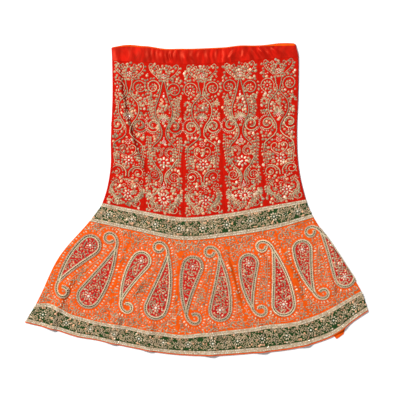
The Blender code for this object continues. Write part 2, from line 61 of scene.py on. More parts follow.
# Cloth, as in the part's source
WALL = 0.0018
SEAM_GAP = 0.0003
LAYER_GAP = 0.0006
FACING_WALL = 0.001
PATCH_WALL = 0.001
FOLD_HEIGHT = 0.0066
FOLD_DEPTH = 0.0034
FOLD_REACH = 0.035
FRONT_GORES = 5
GORE_PUFF = 0.0011
REST_HEIGHT = 2 * WALL + LAYER_GAP
WAIST_ROOM = 0.0016
WAIST_DEPTH = 0.046
GATHER_HEIGHT = 0.0026
GATHER_PITCH = 0.27
GATHER_CENTRE = 2.0
GATHER_REACH = 1.2
GATHER_LEAST = 0.25
FACING_DEPTH = 0.020
FACING_INSET = 0.03
BACK_RISE = 0.0022
RISES = [(0.55, 0.60, 0.0020), (4.75, 0.75, 0.0075)]
LEFT_WRAP = 0.009
RIGHT_WRAPS = [(0.0, 0.010), (0.536, 0.013), (0.608, 0.020), (0.906, 0.052), (0.974, 0.056)]
FLAP = [(4.30, 0.0), (4.33, 0.014), (4.47, 0.014), (4.54, 0.0)]

# Finer than the part's source
UNDER_ROOM = 0.0006  # the back's face stands this far up, above its flat needlework
ROUND_STEPS = 10
BACK_COLUMNS = 8
FACING_SHOWS = 0.0014  # the facing stands this far above the waistband's back
FOLD_SPACING = 0.001  # least step in across between columns next to a fold
RIM_ANGLE = 50  # degrees; a sharper edge is a cut edge of the cloth

# down, then x and y of the left fold, the four seams and the right fold
SECTIONS = [
    (0.000, (-0.272, 0.481), (-0.162, 0.484), (-0.046, 0.476),
     (0.078, 0.480), (0.198, 0.487), (0.318, 0.489)),
    (0.046, (-0.270, 0.441), (-0.162, 0.436), (-0.046, 0.430),
     (0.078, 0.434), (0.197, 0.445), (0.326, 0.452)),
    (0.166, (-0.269, 0.319), (-0.162, 0.314), (-0.045, 0.309),
     (0.079, 0.313), (0.200, 0.322), (0.325, 0.329)),
    (0.296, (-0.274, 0.194), (-0.162, 0.186), (-0.044, 0.180),
     (0.081, 0.185), (0.204, 0.194), (0.321, 0.202)),
    (0.414, (-0.276, 0.089), (-0.164, 0.073), (-0.043, 0.061),
     (0.084, 0.066), (0.213, 0.079), (0.327, 0.097)),
    (0.536, (-0.301, -0.014), (-0.170, -0.040), (-0.042, -0.060), (0.091, -0.048), (0.229, -0.024),
     (0.350, -0.003)),
    (0.608, (-0.342, -0.072), (-0.200, -0.102), (-0.046, -0.132), (0.096, -0.121), (0.248, -0.096),
     (0.374, -0.060)),
    (0.757, (-0.441, -0.189), (-0.251, -0.251), (-0.061, -0.281), (0.123, -0.268), (0.304, -0.236),
     (0.454, -0.179)),
    (0.906, (-0.512, -0.337), (-0.286, -0.399), (-0.059, -0.430), (0.165, -0.414), (0.363, -0.380),
     (0.526, -0.295)),
    (0.974, (-0.549, -0.395), (-0.299, -0.457), (-0.059, -0.499), (0.171, -0.495), (0.386, -0.460),
     (0.549, -0.359)),
]

# across, half width, down, half length, rise towards the waist
RIPPLES = [
    (0.42, 0.50, 0.000, 0.030, 0.004),
    (1.50, 0.50, 0.000, 0.030, -0.004),
    (3.50, 0.45, 0.000, 0.030, 0.003),
    (0.22, 0.30, 0.906, 0.060, 0.015),
    (0.66, 0.26, 0.974, 0.045, -0.004),
    (4.35, 0.40, 0.974, 0.060, -0.004),
    (1.25, 0.40, 0.912, 0.050, 0.004),
    (2.05, 0.34, 0.912, 0.050, -0.005),
    (3.30, 0.36, 0.912, 0.050, 0.004),
]

# A soft fold runs from start through middle to end, with a half width on each side.
Fold = namedtuple("Fold", "start middle end height left right open")
FOLDS = [
    Fold((-0.252, 0.490), (-0.221, 0.246), (-0.128, 0.004), 0.0160, 0.013, 0.022, False),
    Fold((-0.300, -0.020), (-0.238, 0.012), (-0.140, 0.002), 0.0035, 0.018, 0.024, False),
    Fold((0.345, 0.020), (0.299, 0.042), (0.225, 0.050), 0.0035, 0.022, 0.018, False),
    Fold((0.030, 0.400), (0.024, 0.220), (0.010, 0.020), 0.0022, 0.030, 0.034, False),
    Fold((0.268, 0.400), (0.272, 0.220), (0.292, 0.060), 0.0028, 0.034, 0.026, False),
    Fold((0.098, 0.442), (0.110, 0.458), (0.128, 0.482), 0.0030, 0.008, 0.012, False),
    Fold((0.146, 0.446), (0.150, 0.462), (0.148, 0.480), 0.0024, 0.008, 0.010, False),
    Fold((0.196, 0.480), (0.216, 0.466), (0.240, 0.456), 0.0030, 0.009, 0.012, False),
    Fold((0.236, 0.484), (0.252, 0.470), (0.268, 0.456), 0.0030, 0.008, 0.010, False),
    Fold((-0.462, -0.430), (-0.420, -0.299), (-0.360, -0.190), 0.0112, 0.040, 0.016, True),
    Fold((-0.214, -0.322), (-0.184, -0.283), (-0.154, -0.240), 0.0060, 0.018, 0.012, False),
    Fold((0.152, -0.372), (0.112, -0.244), (0.078, -0.139), 0.0105, 0.036, 0.013, False),
    Fold((0.234, -0.252), (0.204, -0.178), (0.150, -0.146), 0.0080, 0.024, 0.010, False),
    Fold((0.250, -0.286), (0.231, -0.258), (0.208, -0.230), 0.0055, 0.014, 0.009, False),
    Fold((0.342, -0.322), (0.302, -0.222), (0.258, -0.148), 0.0100, 0.034, 0.012, False),
    Fold((0.204, -0.394), (0.168, -0.363), (0.130, -0.338), 0.0060, 0.016, 0.010, False),
    Fold((0.438, -0.318), (0.434, -0.268), (0.406, -0.232), 0.0080, 0.022, 0.011, False),
    Fold((-0.267, -0.471), (-0.258, -0.404), (-0.240, -0.331), 0.0090, 0.036, 0.022, True),
    Fold((-0.150, -0.491), (-0.149, -0.420), (-0.142, -0.343), 0.0075, 0.034, 0.021, True),
    Fold((0.050, -0.500), (0.046, -0.427), (0.037, -0.363), 0.0082, 0.038, 0.022, True),
    Fold((0.216, -0.494), (0.200, -0.420), (0.178, -0.350), 0.0090, 0.038, 0.023, True),
    Fold((0.356, -0.475), (0.331, -0.404), (0.300, -0.340), 0.0075, 0.036, 0.021, True),
    Fold((0.470, -0.425), (0.452, -0.378), (0.430, -0.330), 0.0054, 0.030, 0.030, True),
]

# columns is per gore, and rows over the tier's depth.
Tier = namedtuple("Tier", "name top bottom rows columns gored proud finish")
TIERS = {
    t.name: t
    for t in [
        Tier("waistband", 0.0000, 0.0460, 14, 56, False, 0.0, "red_satin"),
        Tier("hip_panel", 0.0460, 0.5360, 92, 36, True, 0.0, "red_silk"),
        Tier("hip_lace_upper", 0.5360, 0.5490, 4, 40, False, 0.0007, "lace"),
        Tier("hip_band", 0.5490, 0.5950, 8, 26, False, 0.0, "green_silk"),
        Tier("hip_lace_lower", 0.5950, 0.6080, 4, 40, False, 0.0007, "lace"),
        Tier("flare_panel", 0.6080, 0.9060, 60, 44, True, 0.0, "orange_silk"),
        Tier("hem_lace_upper", 0.9060, 0.9180, 4, 50, False, 0.0007, "lace"),
        Tier("hem_band", 0.9180, 0.9595, 8, 34, False, 0.0, "green_silk"),
        Tier("hem_lace_lower", 0.9595, 0.9705, 4, 50, False, 0.0007, "lace"),
        Tier("hem_edge", 0.9705, 0.9740, 2, 34, False, 0.0, "orange_silk"),
    ]
}

# Paisleys: a round bulb, a body that narrows to a neck, and a curled tail
Paisley = namedtuple("Paisley", "bulb_radius body bend curl_wide curl_length")
SMALL = Paisley(0.035, 0.146, 0.40, 0.046, 0.104)
LARGE = Paisley(0.040, 0.174, 0.30, 0.052, 0.122)
TAIL_HALF_WIDTH = 0.0065
CURL_TIGHT = 0.0145
BODY_TAPER = 1.5
Patch = namedtuple("Patch", "name kind bulb neck")
PATCHES = [
    Patch("paisley_1a", SMALL, (0.34, 0.687), (0.16, 0.824)),
    Patch("paisley_1b", LARGE, (0.65, 0.837), (0.80, 0.673)),
    Patch("paisley_2a", SMALL, (1.31, 0.693), (1.13, 0.824)),
    Patch("paisley_2b", LARGE, (1.67, 0.830), (1.76, 0.660)),
    Patch("paisley_3a", SMALL, (2.26, 0.692), (2.13, 0.842)),
    Patch("paisley_3b", LARGE, (2.65, 0.839), (2.81, 0.671)),
    Patch("paisley_4a", SMALL, (3.32, 0.702), (3.15, 0.844)),
    Patch("paisley_4b", LARGE, (3.66, 0.848), (3.83, 0.674)),
    Patch("paisley_5a", SMALL, (4.39, 0.697), (4.23, 0.838)),
    Patch("paisley_5b", LARGE, (4.87, 0.836), (4.97, 0.664)),
]

# Camera, straight above the skirt
CAMERA_PLACE = (0.0368, -0.0298, 3.143)
LENS = 85
SENSOR = 36


def smooth_curve(at, values, x):
    """A smooth curve through values at the places in at, straight on beyond its ends."""
    at = np.asarray(at, float)
    values = np.asarray(values, float)
    x = np.asarray(x, float)
    slope = np.empty_like(values)
    spans = (len(at) - 2, *[1] * (values.ndim - 1))
    slope[1:-1] = (values[2:] - values[:-2]) / (at[2:] - at[:-2]).reshape(spans)
    slope[0] = (values[1] - values[0]) / (at[1] - at[0])
    slope[-1] = (values[-1] - values[-2]) / (at[-1] - at[-2])
    i = np.clip(np.searchsorted(at, x, side="right") - 1, 0, len(at) - 2)
    wide = (..., *[None] * (values.ndim - 1))
    step = (at[i + 1] - at[i])[wide]
    t = np.clip((x - at[i])[wide] / step, 0, 1)
    beyond = np.minimum(x - at[0], 0)[wide] * slope[0] + np.maximum(x - at[-1], 0)[wide] * slope[-1]
    return (
        (2 * t**3 - 3 * t**2 + 1) * values[i]
        + (t**3 - 2 * t**2 + t) * step * slope[i]
        + (3 * t**2 - 2 * t**3) * values[i + 1]
        + (t**3 - t**2) * step * slope[i + 1]
        + beyond
    )


def bump(x):
    """1 at 0, falling smoothly to 0 at -1 and 1."""
    return np.cos(np.clip(x, -1, 1) * math.pi / 2) ** 2


def ease(x):
    """0 up to 0, 1 from 1, smooth between."""
    x = np.clip(x, 0, 1)
    return x * x * (3 - 2 * x)


SECTION_DOWNS = [s[0] for s in SECTIONS]
SECTION_POINTS = np.array([s[1:] for s in SECTIONS], float)


def plan(across, down):
    """Where a place on the front lies, seen from above, as an array of x and y."""
    across, down = np.broadcast_arrays(np.asarray(across, float), np.asarray(down, float))
    shape = across.shape
    across, down = across.ravel(), down.ravel()
    seams = smooth_curve(SECTION_DOWNS, SECTION_POINTS, down)
    row = np.arange(len(across))
    k = np.clip(np.floor(across).astype(int), 0, FRONT_GORES - 1)
    t = (across - k)[:, None]

    def seam(n):
        return seams[row, np.clip(n, 0, FRONT_GORES)]

    first, last = seam(k), seam(k + 1)
    slope_first = np.where((k > 0)[:, None], (last - seam(k - 1)) / 2, last - first)
    inside = (k + 1 < FRONT_GORES)[:, None]
    slope_last = np.where(inside, (seam(k + 2) - first) / 2, last - first)
    point = (
        (2 * t**3 - 3 * t**2 + 1) * first
        + (t**3 - 2 * t**2 + t) * slope_first
        + (3 * t**2 - 2 * t**3) * last
        + (t**3 - t**2) * slope_last
    )
    for centre, half_width, at, half_length, rise in RIPPLES:
        sideways = bump((across - centre) / half_width)
        point[:, 1] += rise * sideways * bump((down - at) / half_length)
    return point.reshape(*shape, 2)


def gore_width(across, down):
    """Metres for one gore's worth of across, near a place."""
    step = 0.02
    a = np.clip(np.asarray(across, float) - step, 0, FRONT_GORES - 2 * step)
    return np.linalg.norm(plan(a + 2 * step, down) - plan(a, down), axis=-1) / (2 * step)


def fold_height(fold, x, y):
    """How far one soft fold lifts the points x, y."""
    start, middle, end = (np.array(p) for p in (fold.start, fold.middle, fold.end))
    along = end - start
    length = float(np.hypot(*along))
    side = np.array([-along[1], along[0]]) / length
    t = ((x - start[0]) * along[0] + (y - start[1]) * along[1]) / length**2
    clipped = np.clip(t, 0, 1)
    bow = middle - (start + end) / 2
    swing = 4 * clipped * (1 - clipped)
    off = (x - start[0] - clipped * along[0] - swing * bow[0]) * side[0]
    off += (y - start[1] - clipped * along[1] - swing * bow[1]) * side[1]
    across = bump(np.where(off > 0, off / fold.left, off / fold.right))
    lengthwise = ease((1 - t) / 0.45)
    if not fold.open:
        lengthwise = lengthwise * ease(t / 0.35)
    return fold.height * across * lengthwise


def crinkle(across, down, x, y):
    """The small unevenness of real cloth, which the part's source leaves out."""
    amount = bpy.context.scene.lehenga_cloth.crinkle
    broad = np.sin(61 * x + 2.1 * np.sin(37 * y)) * np.sin(53 * y + 1.7 * np.sin(43 * x))
    fine = np.sin(139 * x + 2.6 * np.sin(97 * y) + 1) * np.sin(127 * y + 2.2 * np.sin(109 * x))
    lift = amount * (0.65 * broad + 0.35 * fine)
    band = bump((down - 0.024) / 0.030)
    gathers = np.sin(2 * math.pi * across / 0.16 + 3.4 * np.sin(4.3 * across) + 1.6 * np.sin(95 * down))
    gathers = gathers * (0.6 + 0.4 * np.sin(11.3 * across + 60 * down))
    strength = 0.08 + 0.92 * bump((across - GATHER_CENTRE) / 1.3)
    slanted = np.sin(2 * math.pi * (across / 0.23 - down / 0.04) + 2.2 * np.sin(3.1 * across))
    slanted = slanted * bump((across - 4.1) / 0.9)
    seam = 1.8 * bump((across - 3.10) / 0.08) - 4.4 * bump((across - 3.02) / 0.030)
    return lift * (1 - band) + band * amount * (4.6 * strength * gathers + 3.8 * slanted + seam)


def front_height(across, down):
    """Height of the front's outer face."""
    across, down = np.broadcast_arrays(np.asarray(across, float), np.asarray(down, float))
    point = plan(across, down)
    x, y = point[..., 0], point[..., 1]
    height = np.full(across.shape, REST_HEIGHT)
    inner = np.ones(across.shape)
    for edge in (0.0, float(FRONT_GORES)):
        away = np.linalg.norm(point - plan(edge, down), axis=-1)
        height += (FOLD_HEIGHT - REST_HEIGHT) * np.exp(-((away / FOLD_REACH) ** 2))
        inner *= ease(away / 0.03)
    height += GORE_PUFF * np.sin(math.pi * across) ** 2 * ease((down - WAIST_DEPTH) / 0.05)
    height += WAIST_ROOM * (1 - ease((down - 0.03) / 0.05))
    amount = GATHER_LEAST + (1 - GATHER_LEAST) * bump((across - GATHER_CENTRE) / GATHER_REACH)
    uneven = 1.3 * np.sin(1.9 * across)
    waves = np.sin(math.pi * across / GATHER_PITCH + uneven) ** 2
    height += GATHER_HEIGHT * amount * waves * bump((down - WAIST_DEPTH / 2) / (WAIST_DEPTH / 2))
    for f in FOLDS:
        height += fold_height(f, x, y)
    return height + inner * (0.0003 + crinkle(across, down, x, y))


def front_point(across, down):
    return np.concatenate([plan(across, down), front_height(across, down)[..., None]], axis=-1)


def front_faces(across, down, proud=0.0):
    """Outer and inner points of the front's wall."""
    outer = front_point(across, down)
    step = 0.004
    sideways = front_point(across + step, down) - front_point(across - step, down)
    lengthwise = front_point(across, down - step / 4) - front_point(across, down + step / 4)
    normal = np.cross(sideways, lengthwise)
    normal /= np.linalg.norm(normal, axis=-1, keepdims=True)
    return outer + normal * proud, outer - normal * WALL


def back_faces(across, down):
    """Outer and inner points of the back's wall, flat above the surface below it."""
    point = plan(across, down)
    outer = np.concatenate([point, np.full((*point.shape[:-1], 1), UNDER_ROOM)], axis=-1)
    return outer, outer + (0, 0, WALL - UNDER_ROOM)


def fold_edge(side, down):
    """Where the round of a side fold starts, in across."""
    edge = 0.0 if side < 0 else float(FRONT_GORES)
    return edge - side * FOLD_DEPTH / gore_width(edge, down)


def round_faces(side, angle, down, proud=0.0):
    """Outer and inner points on the round of a side fold, from +90 degrees on top to -90."""
    edge = fold_edge(side, down)
    base = plan(edge, down)
    outward = plan(0.0 if side < 0 else float(FRONT_GORES), down) - base
    outward /= np.linalg.norm(outward, axis=-1, keepdims=True)
    half = front_height(edge, down) / 2
    c, s = math.cos(math.radians(angle)), math.sin(math.radians(angle))
    lift = proud * (1 + s) / 2
    faces = []
    for inset in (-lift, WALL):
        xy = base + outward * (FOLD_DEPTH - inset) * c
        z = half + (half - inset) * s
        faces.append(np.concatenate([xy, z[..., None]], axis=-1))
    return faces


def back_seam(n, down):
    """Where seam n of the back lies: 0 behind the left fold and 5 behind the right one."""
    left = LEFT_WRAP / gore_width(0.0, down)
    at, wraps = zip(*RIGHT_WRAPS)
    right = FRONT_GORES - smooth_curve(at, wraps, down) / gore_width(float(FRONT_GORES), down)
    return left + (right - left) * n / FRONT_GORES


def back_rise(across):
    """How far the back's waist edge stands above the front's."""
    return BACK_RISE + sum(rise * bump((across - at) / half) for at, half, rise in RISES)


def half_gap(across, down):
    return SEAM_GAP / 2 / gore_width(across, down)


def tier_downs(tier):
    return np.linspace(tier.top + SEAM_GAP / 2, tier.bottom - SEAM_GAP / 2, tier.rows + 1)


def side_columns(side, downs, proud):
    """Columns round a side fold, from the front's edge to the seam on the underside."""
    columns = [
        round_faces(side, 90 - 180 * n / ROUND_STEPS, downs, proud)
        for n in range(1, ROUND_STEPS + 1)
    ]
    seam = back_seam(0 if side < 0 else FRONT_GORES, downs)
    columns.append(back_faces(seam + side * half_gap(seam, downs), downs))
    return columns


def front_columns(first, last, tier, proud):
    """Columns of the front from seam first to seam last, with the side folds where it has them."""
    downs = tier_downs(tier)
    count = (last - first) * tier.columns
    n = np.arange(count + 1)
    place = np.repeat((first + n / tier.columns)[None, :], len(downs), axis=0)
    place[:, 0] += half_gap(place[:, 0], downs)
    place[:, -1] -= half_gap(place[:, -1], downs)
    if first == 0:
        place = np.maximum(place, fold_edge(-1, downs)[:, None] + n * FOLD_SPACING)
    if last == FRONT_GORES:
        place = np.minimum(place, fold_edge(1, downs)[:, None] - (count - n) * FOLD_SPACING)
    outer, inner = front_faces(place, downs[:, None], proud)
    columns = [(outer[:, k], inner[:, k]) for k in n]
    if first == 0:
        columns = side_columns(-1, downs, proud)[::-1] + [round_faces(-1, 90, downs, proud)] + columns[1:]
    if last == FRONT_GORES:
        columns = columns[:-1] + [round_faces(1, 90, downs, proud)] + side_columns(1, downs, proud)
    return columns


def back_columns(first, last, tier):
    """Columns of the back from seam first to seam last."""
    downs = tier_downs(tier)
    columns = []
    count = (last - first) * BACK_COLUMNS
    for n in range(count + 1):
        across = back_seam(first + n / BACK_COLUMNS, downs)
        if n == 0:
            across = across + half_gap(across, downs)
        if n == count:
            across = across - half_gap(across, downs)
        columns.append(back_faces(across, downs))
    return columns


def raised_waist(columns, places):
    """Stretches the columns up to the back's waist edge at their places, by their shares."""
    for (outer, inner), (across, share) in zip(columns, places):
        rise = float(back_rise(across)) * share
        for face in (outer, inner):
            upward = face[0] - face[-1]
            length = np.linalg.norm(upward)
            fade = np.linspace(1, 0, len(face))[:, None] ** 2
            face += upward / length * rise * fade


def new_object(name, mesh, finish):
    mesh.shade_smooth()
    mesh.set_sharp_from_angle(angle=math.radians(RIM_ANGLE))
    mesh.materials.append(finish)
    obj = bpy.data.objects.new(name, mesh)
    bpy.context.scene.collection.objects.link(obj)
    return obj


def outward(mesh):
    """Turns a closed mesh's faces outwards."""
    bm = bmesh.new()
    bm.from_mesh(mesh)
    if bm.calc_volume(signed=True) < 0:
        bmesh.ops.reverse_faces(bm, faces=bm.faces)
    bm.to_mesh(mesh)
    bm.free()


def with_uv(mesh, places):
    """A UV map in metres from each point's place on the flat cloth."""
    layer = mesh.uv_layers.new(name="cloth")
    loops = np.empty(len(mesh.loops), dtype=np.int32)
    mesh.loops.foreach_get("vertex_index", loops)
    layer.data.foreach_set("uv", np.asarray(places, float)[loops].ravel())


def cloth_wall(name, columns, downs):
    """A closed wall from columns of outer and inner points, with its flat size and area."""
    outer = np.stack([c[0] for c in columns], axis=1)
    inner = np.stack([c[1] for c in columns], axis=1)
    rows, count = outer.shape[:2]
    first = np.arange(rows * count).reshape(rows, count)
    second = first + rows * count
    quads = [
        np.stack([first[:-1, :-1], first[1:, :-1], first[1:, 1:], first[:-1, 1:]], axis=-1),
        np.stack([second[:-1, :-1], second[:-1, 1:], second[1:, 1:], second[1:, :-1]], axis=-1),
    ]
    faces = np.concatenate([q.reshape(-1, 4) for q in quads])
    rims = [
        (first[0, 1:], first[0, :-1], second[0, :-1], second[0, 1:]),
        (first[-1, :-1], first[-1, 1:], second[-1, 1:], second[-1, :-1]),
        (first[:-1, 0], first[1:, 0], second[1:, 0], second[:-1, 0]),
        (first[1:, -1], first[:-1, -1], second[:-1, -1], second[1:, -1]),
    ]
    faces = np.concatenate([faces] + [np.stack(r, axis=-1) for r in rims])
    mesh = bpy.data.meshes.new(name)
    points = np.concatenate([outer.reshape(-1, 3), inner.reshape(-1, 3)])
    mesh.from_pydata(points.tolist(), [], faces.tolist())
    steps = np.linalg.norm(np.diff(outer, axis=1), axis=-1)
    wide = np.concatenate([np.zeros((rows, 1)), np.cumsum(steps, axis=1)], axis=1)
    middle = count // 2
    u = wide - wide[:, middle : middle + 1]
    v = np.broadcast_to(-np.asarray(downs)[:, None], u.shape)
    places = np.stack([u, v], axis=-1).reshape(-1, 2)
    with_uv(mesh, np.concatenate([places, places]))
    outward(mesh)
    tall = np.linalg.norm(np.diff(outer, axis=0), axis=-1)
    area = float((steps[:-1] + steps[1:]).sum(axis=1) @ tall.mean(axis=1)) / 2
    flat = (float(wide[:, -1].max()), float(tall.sum(axis=0).max()))
    return mesh, flat, min(area, flat[0] * flat[1])


LEAST_DEPTH = 0.010
LEAST_SHARE = 0.3


def dress(obj, slot, *nodes):
    """Makes a piece ride on the part and stand for its nodes; its slot is not used."""
    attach(obj, "root")
    if nodes:
        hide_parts(*nodes)
    return obj


def lay_sheet(obj, flat, area):
    """Prints a sheet's flat size and cut area; a strip with one deep corner counts as its mean depth."""
    depth = max(LEAST_DEPTH, min(flat[1], 0.98 * area / (LEAST_SHARE * flat[0])))
    flat = (flat[0], depth)
    print(f"sheet {obj.name}: {flat[0]:.3f} x {flat[1]:.3f} m, cut {area:.4f} m2")


def sew(name, columns, downs, tier):
    """One piece of cloth in the place of the node of the same name."""
    mesh, flat, area = cloth_wall(f"{name}_cloth", columns, downs)
    obj = new_object(f"{name}_cloth", mesh, FINISHES[tier.finish]())
    dress(obj, tier.finish, name)
    lay_sheet(obj, flat, area)
    return obj


# Needlework

GOLD_CORD, DARK_CORD, FINE_CORD, PALE_CORD, PETAL, COPPER_PETAL, LIGHT_PETAL, STONE, BEAD = range(9)
FORMS = {
    GOLD_CORD: ("cord", "zari_cord"),
    DARK_CORD: ("cord", "dark_thread"),
    FINE_CORD: ("cord", "fine_thread"),
    PALE_CORD: ("cord", "pale_cord"),
    PETAL: ("petal", "gold_petal"),
    COPPER_PETAL: ("petal", "copper_petal"),
    LIGHT_PETAL: ("petal", "light_petal"),
    STONE: ("stone", "cream_stone"),
    BEAD: ("stone", "gold_bead"),
}
PATH_PITCH = 3.6
STEM_END = 2  # bare cord at each end of a leafy stem


def compass(degrees):
    """A unit vector; 0 points right and 90 towards the hem."""
    return np.array([math.cos(math.radians(degrees)), math.sin(math.radians(degrees))])


def path_through(points, pitch=PATH_PITCH):
    """Points every few millimetres along a smooth curve through the given ones."""
    points = np.asarray(points, float)
    at = np.concatenate([[0], np.cumsum(np.hypot(*np.diff(points, axis=0).T))])
    fine = smooth_curve(at, points, np.linspace(0, at[-1], max(8, int(2 * at[-1]))))
    length = np.concatenate([[0], np.cumsum(np.hypot(*np.diff(fine, axis=0).T))])
    even = np.linspace(0, length[-1], max(2, round(length[-1] / pitch)) + 1)
    return np.stack([np.interp(even, length, fine[:, k]) for k in (0, 1)], axis=1)


def headings(path):
    """The direction of a path at each of its points, in degrees."""
    along = np.gradient(path, axis=0)
    return np.degrees(np.arctan2(along[:, 1], along[:, 0]))


def sidestep(path, offset):
    """The path moved sideways, to its right for a positive offset."""
    turn = np.radians(headings(path))
    return path + offset * np.stack([-np.sin(turn), np.cos(turn)], axis=1)


class Needlework:
    """Cords and small bits drawn on flat cloth, in millimetres."""

    def __init__(self, seed=1):
        self.cords = []
        self.bits = []
        self.random = np.random.default_rng(seed)

    def cord(self, path, width=2.4, form=GOLD_CORD):
        self.cords.append((np.asarray(path, float), width / 2, form))
        return path

    def bit(self, x, y, turn, length, width, rise=1.5, form=PETAL):
        self.bits.append((x, y, turn, length, width, rise, form))

    def stone(self, x, y, size, form=STONE):
        self.bit(x, y, 0, size, size, 0.42 * size, form)

    def stem(self, path):
        return self.cord(path, 3.8)

    def leaves(self, path, pitch=8, size=(10.8, 8.0), lean=48, off=5.6, sides=(-1, 1)):
        """Petals in pairs along a path, leaning forward."""
        length = np.concatenate([[0], np.cumsum(np.hypot(*np.diff(path, axis=0).T))])
        turn = np.unwrap(np.radians(headings(path)))
        for at in np.arange(STEM_END, length[-1] - STEM_END, pitch):
            here = [np.interp(at, length, path[:, k]) for k in (0, 1)]
            way = math.degrees(np.interp(at, length, turn))
            for side in sides:
                out = way + side * 90 + self.random.uniform(-14, 14)
                x, y = here + off * self.random.uniform(0.85, 1.15) * compass(out)
                jitter = self.random.uniform(-18, 18)
                grown = self.random.uniform(0.82, 1.12)
                self.bit(x, y, way + side * lean + jitter, size[0] * grown, size[1] * grown, 2.2)

    def curl(self, x, y, radius, start, turns, hand, tight=0.32, width=2.4, form=GOLD_CORD):
        """A spiral that starts on its outside at the angle start and winds inwards."""
        count = max(6, int(abs(turns) * 2 * math.pi * radius * 0.7 / PATH_PITCH))
        t = np.linspace(0, 1, count + 1)
        angle = np.radians(start + hand * 360 * turns * t)
        reach = radius * (1 - (1 - tight) * t**1.3)
        path = np.stack([x + reach * np.cos(angle), y + reach * np.sin(angle)], axis=1)
        return self.cord(path, width, form)

    def ring(self, x, y, radius, width=2.0, form=GOLD_CORD):
        angle = np.linspace(0, 2 * math.pi, max(9, int(2 * math.pi * radius / 3)) + 1)
        path = np.stack([x + radius * np.cos(angle), y + radius * np.sin(angle)], axis=1)
        return self.cord(path, width, form)

    def flower(self, x, y, radius, count, form=PETAL, start=-90, heart=0.34):
        """Petals round a stone."""
        length = radius * 0.62
        wide = min(0.66 * length, 2 * math.pi * radius * 0.66 / count * 0.86)
        for n in range(count):
            way = start + 360 * n / count
            px, py = (x, y) + (radius - length / 2) * compass(way)
            self.bit(px, py, way, length, wide, 1.7, form)
        self.stone(x, y, max(2.6, heart * radius))

    def fan(self, x, y, reach, way, spread, count, form=PETAL, wide=0.42):
        """Petals that open from one point."""
        for n in range(count):
            turn = way + spread * (n / (count - 1) - 0.5)
            px, py = (x, y) + 0.62 * reach * compass(turn)
            self.bit(px, py, turn, 0.76 * reach, wide * reach, 1.7, form)

    def drop(self, x, y, radius):
        """A white rosette that hangs from two beads."""
        self.flower(x, y, radius, 8, STONE, heart=0.6)
        self.stone(x, y - radius - 2.5, 5.0)
        self.stone(x, y - radius - 7.5, 3.4)

    def row(self, path, pitch, size, form=BEAD, cross=True, off=0.0, rise=1.8):
        """Small bits along a path, across it or in line with it."""
        length = np.concatenate([[0], np.cumsum(np.hypot(*np.diff(path, axis=0).T))])
        turn = np.unwrap(np.radians(headings(path)))
        count = max(1, round(length[-1] / pitch))
        for at in (np.arange(count) + 0.5) * length[-1] / count:
            way = math.degrees(np.interp(at, length, turn))
            x, y = [np.interp(at, length, path[:, k]) for k in (0, 1)] + off * compass(way + 90)
            self.bit(x, y, way + (90 if cross else 0), size[0], size[1], rise, form)

    def any_petal(self, copper=0.38):
        """The form of the next petal of a filling."""
        return self.random.choice([PETAL, COPPER_PETAL, LIGHT_PETAL], p=[0.87 - copper, copper, 0.13])

    def places(self, shy):
        """The centres and half widths of everything drawn so far, cords wider by shy."""
        found = [np.column_stack([p, np.full(len(p), half + shy)]) for p, half, form in self.cords]
        if self.bits:
            found.append(np.array([(b[0], b[1], (b[3] + b[4]) / 4) for b in self.bits]))
        return np.concatenate(found) if found else np.empty((0, 3))

    def fill(self, low, high, inside, pitch, clear, reach, chance, stitch, shy=0.4):
        """Works the free ground inside a region with small stitches."""
        size = np.ceil(np.array(high) - low).astype(int) + 1
        margin = (reach or clear) + 3
        near = np.full(size, 99.0)
        gx, gy = np.meshgrid(np.arange(size[0]), np.arange(size[1]), indexing="ij")

        def stamp(x, y, half):
            span = int(margin + half)
            i, j = int(x - low[0]), int(y - low[1])
            a, b = max(0, i - span), max(0, j - span)
            c, d = max(0, i + span), max(0, j + span)
            if a >= size[0] or b >= size[1]:
                return
            away = np.hypot(gx[a:c, b:d] - (x - low[0]), gy[a:c, b:d] - (y - low[1])) - half
            near[a:c, b:d] = np.minimum(near[a:c, b:d], away)

        for x, y, half in self.places(shy):
            stamp(x, y, half)
        drawn = near.copy()
        slope = np.gradient(drawn)
        across = np.arange(low[0] + pitch / 2, high[0], pitch)
        down = np.arange(low[1] + pitch / 2, high[1], pitch * 0.87)
        spots = [(x + pitch / 2 * (n % 2), y) for n, y in enumerate(down) for x in across]
        spots = np.array(spots) + self.random.uniform(-0.28, 0.28, (len(spots), 2)) * pitch
        keep = inside(spots[:, 0], spots[:, 1])
        luck = self.random.random(len(spots))
        for (x, y), good, lot in zip(spots, keep, luck):
            i, j = int(x - low[0]), int(y - low[1])
            if not good or i < 0 or j < 0 or i >= size[0] or j >= size[1]:
                continue
            if near[i, j] < clear or (reach and drawn[i, j] > reach) or lot > chance:
                continue
            way = math.degrees(math.atan2(slope[1][i, j], slope[0][i, j]))
            stamp(x, y, stitch(self, x, y, way))


def seed_stitch(work, x, y, way, least=7.0, copper=0.38):
    """A small petal or bead, any way round."""
    if work.random.random() < 0.16:
        work.stone(x, y, work.random.uniform(3.0, 4.4), BEAD)
        return 1.8
    length = work.random.uniform(least, least + 3)
    form = work.any_petal(copper)
    work.bit(x, y, work.random.uniform(0, 360), length, 0.68 * length, 1.8, form)
    return 2.7


def leaf_stitch(work, x, y, way):
    """A petal that grows away from the nearest motif, or now and then a small curl or bead."""
    luck = work.random.random()
    if luck < 0.10:
        work.curl(x, y, 3.4, way, 1.1, 1 if luck < 0.05 else -1, width=2.0)
        return 4.0
    if luck < 0.20:
        work.stone(x, y, work.random.uniform(3.4, 4.8), BEAD)
        return 2.2
    length = work.random.uniform(10.0, 13.6)
    form = work.any_petal()
    turn = way + work.random.choice([-46, 46]) + work.random.uniform(-30, 30)
    work.bit(x, y, turn, length, 0.78 * length, 2.4, form)
    return 3.8


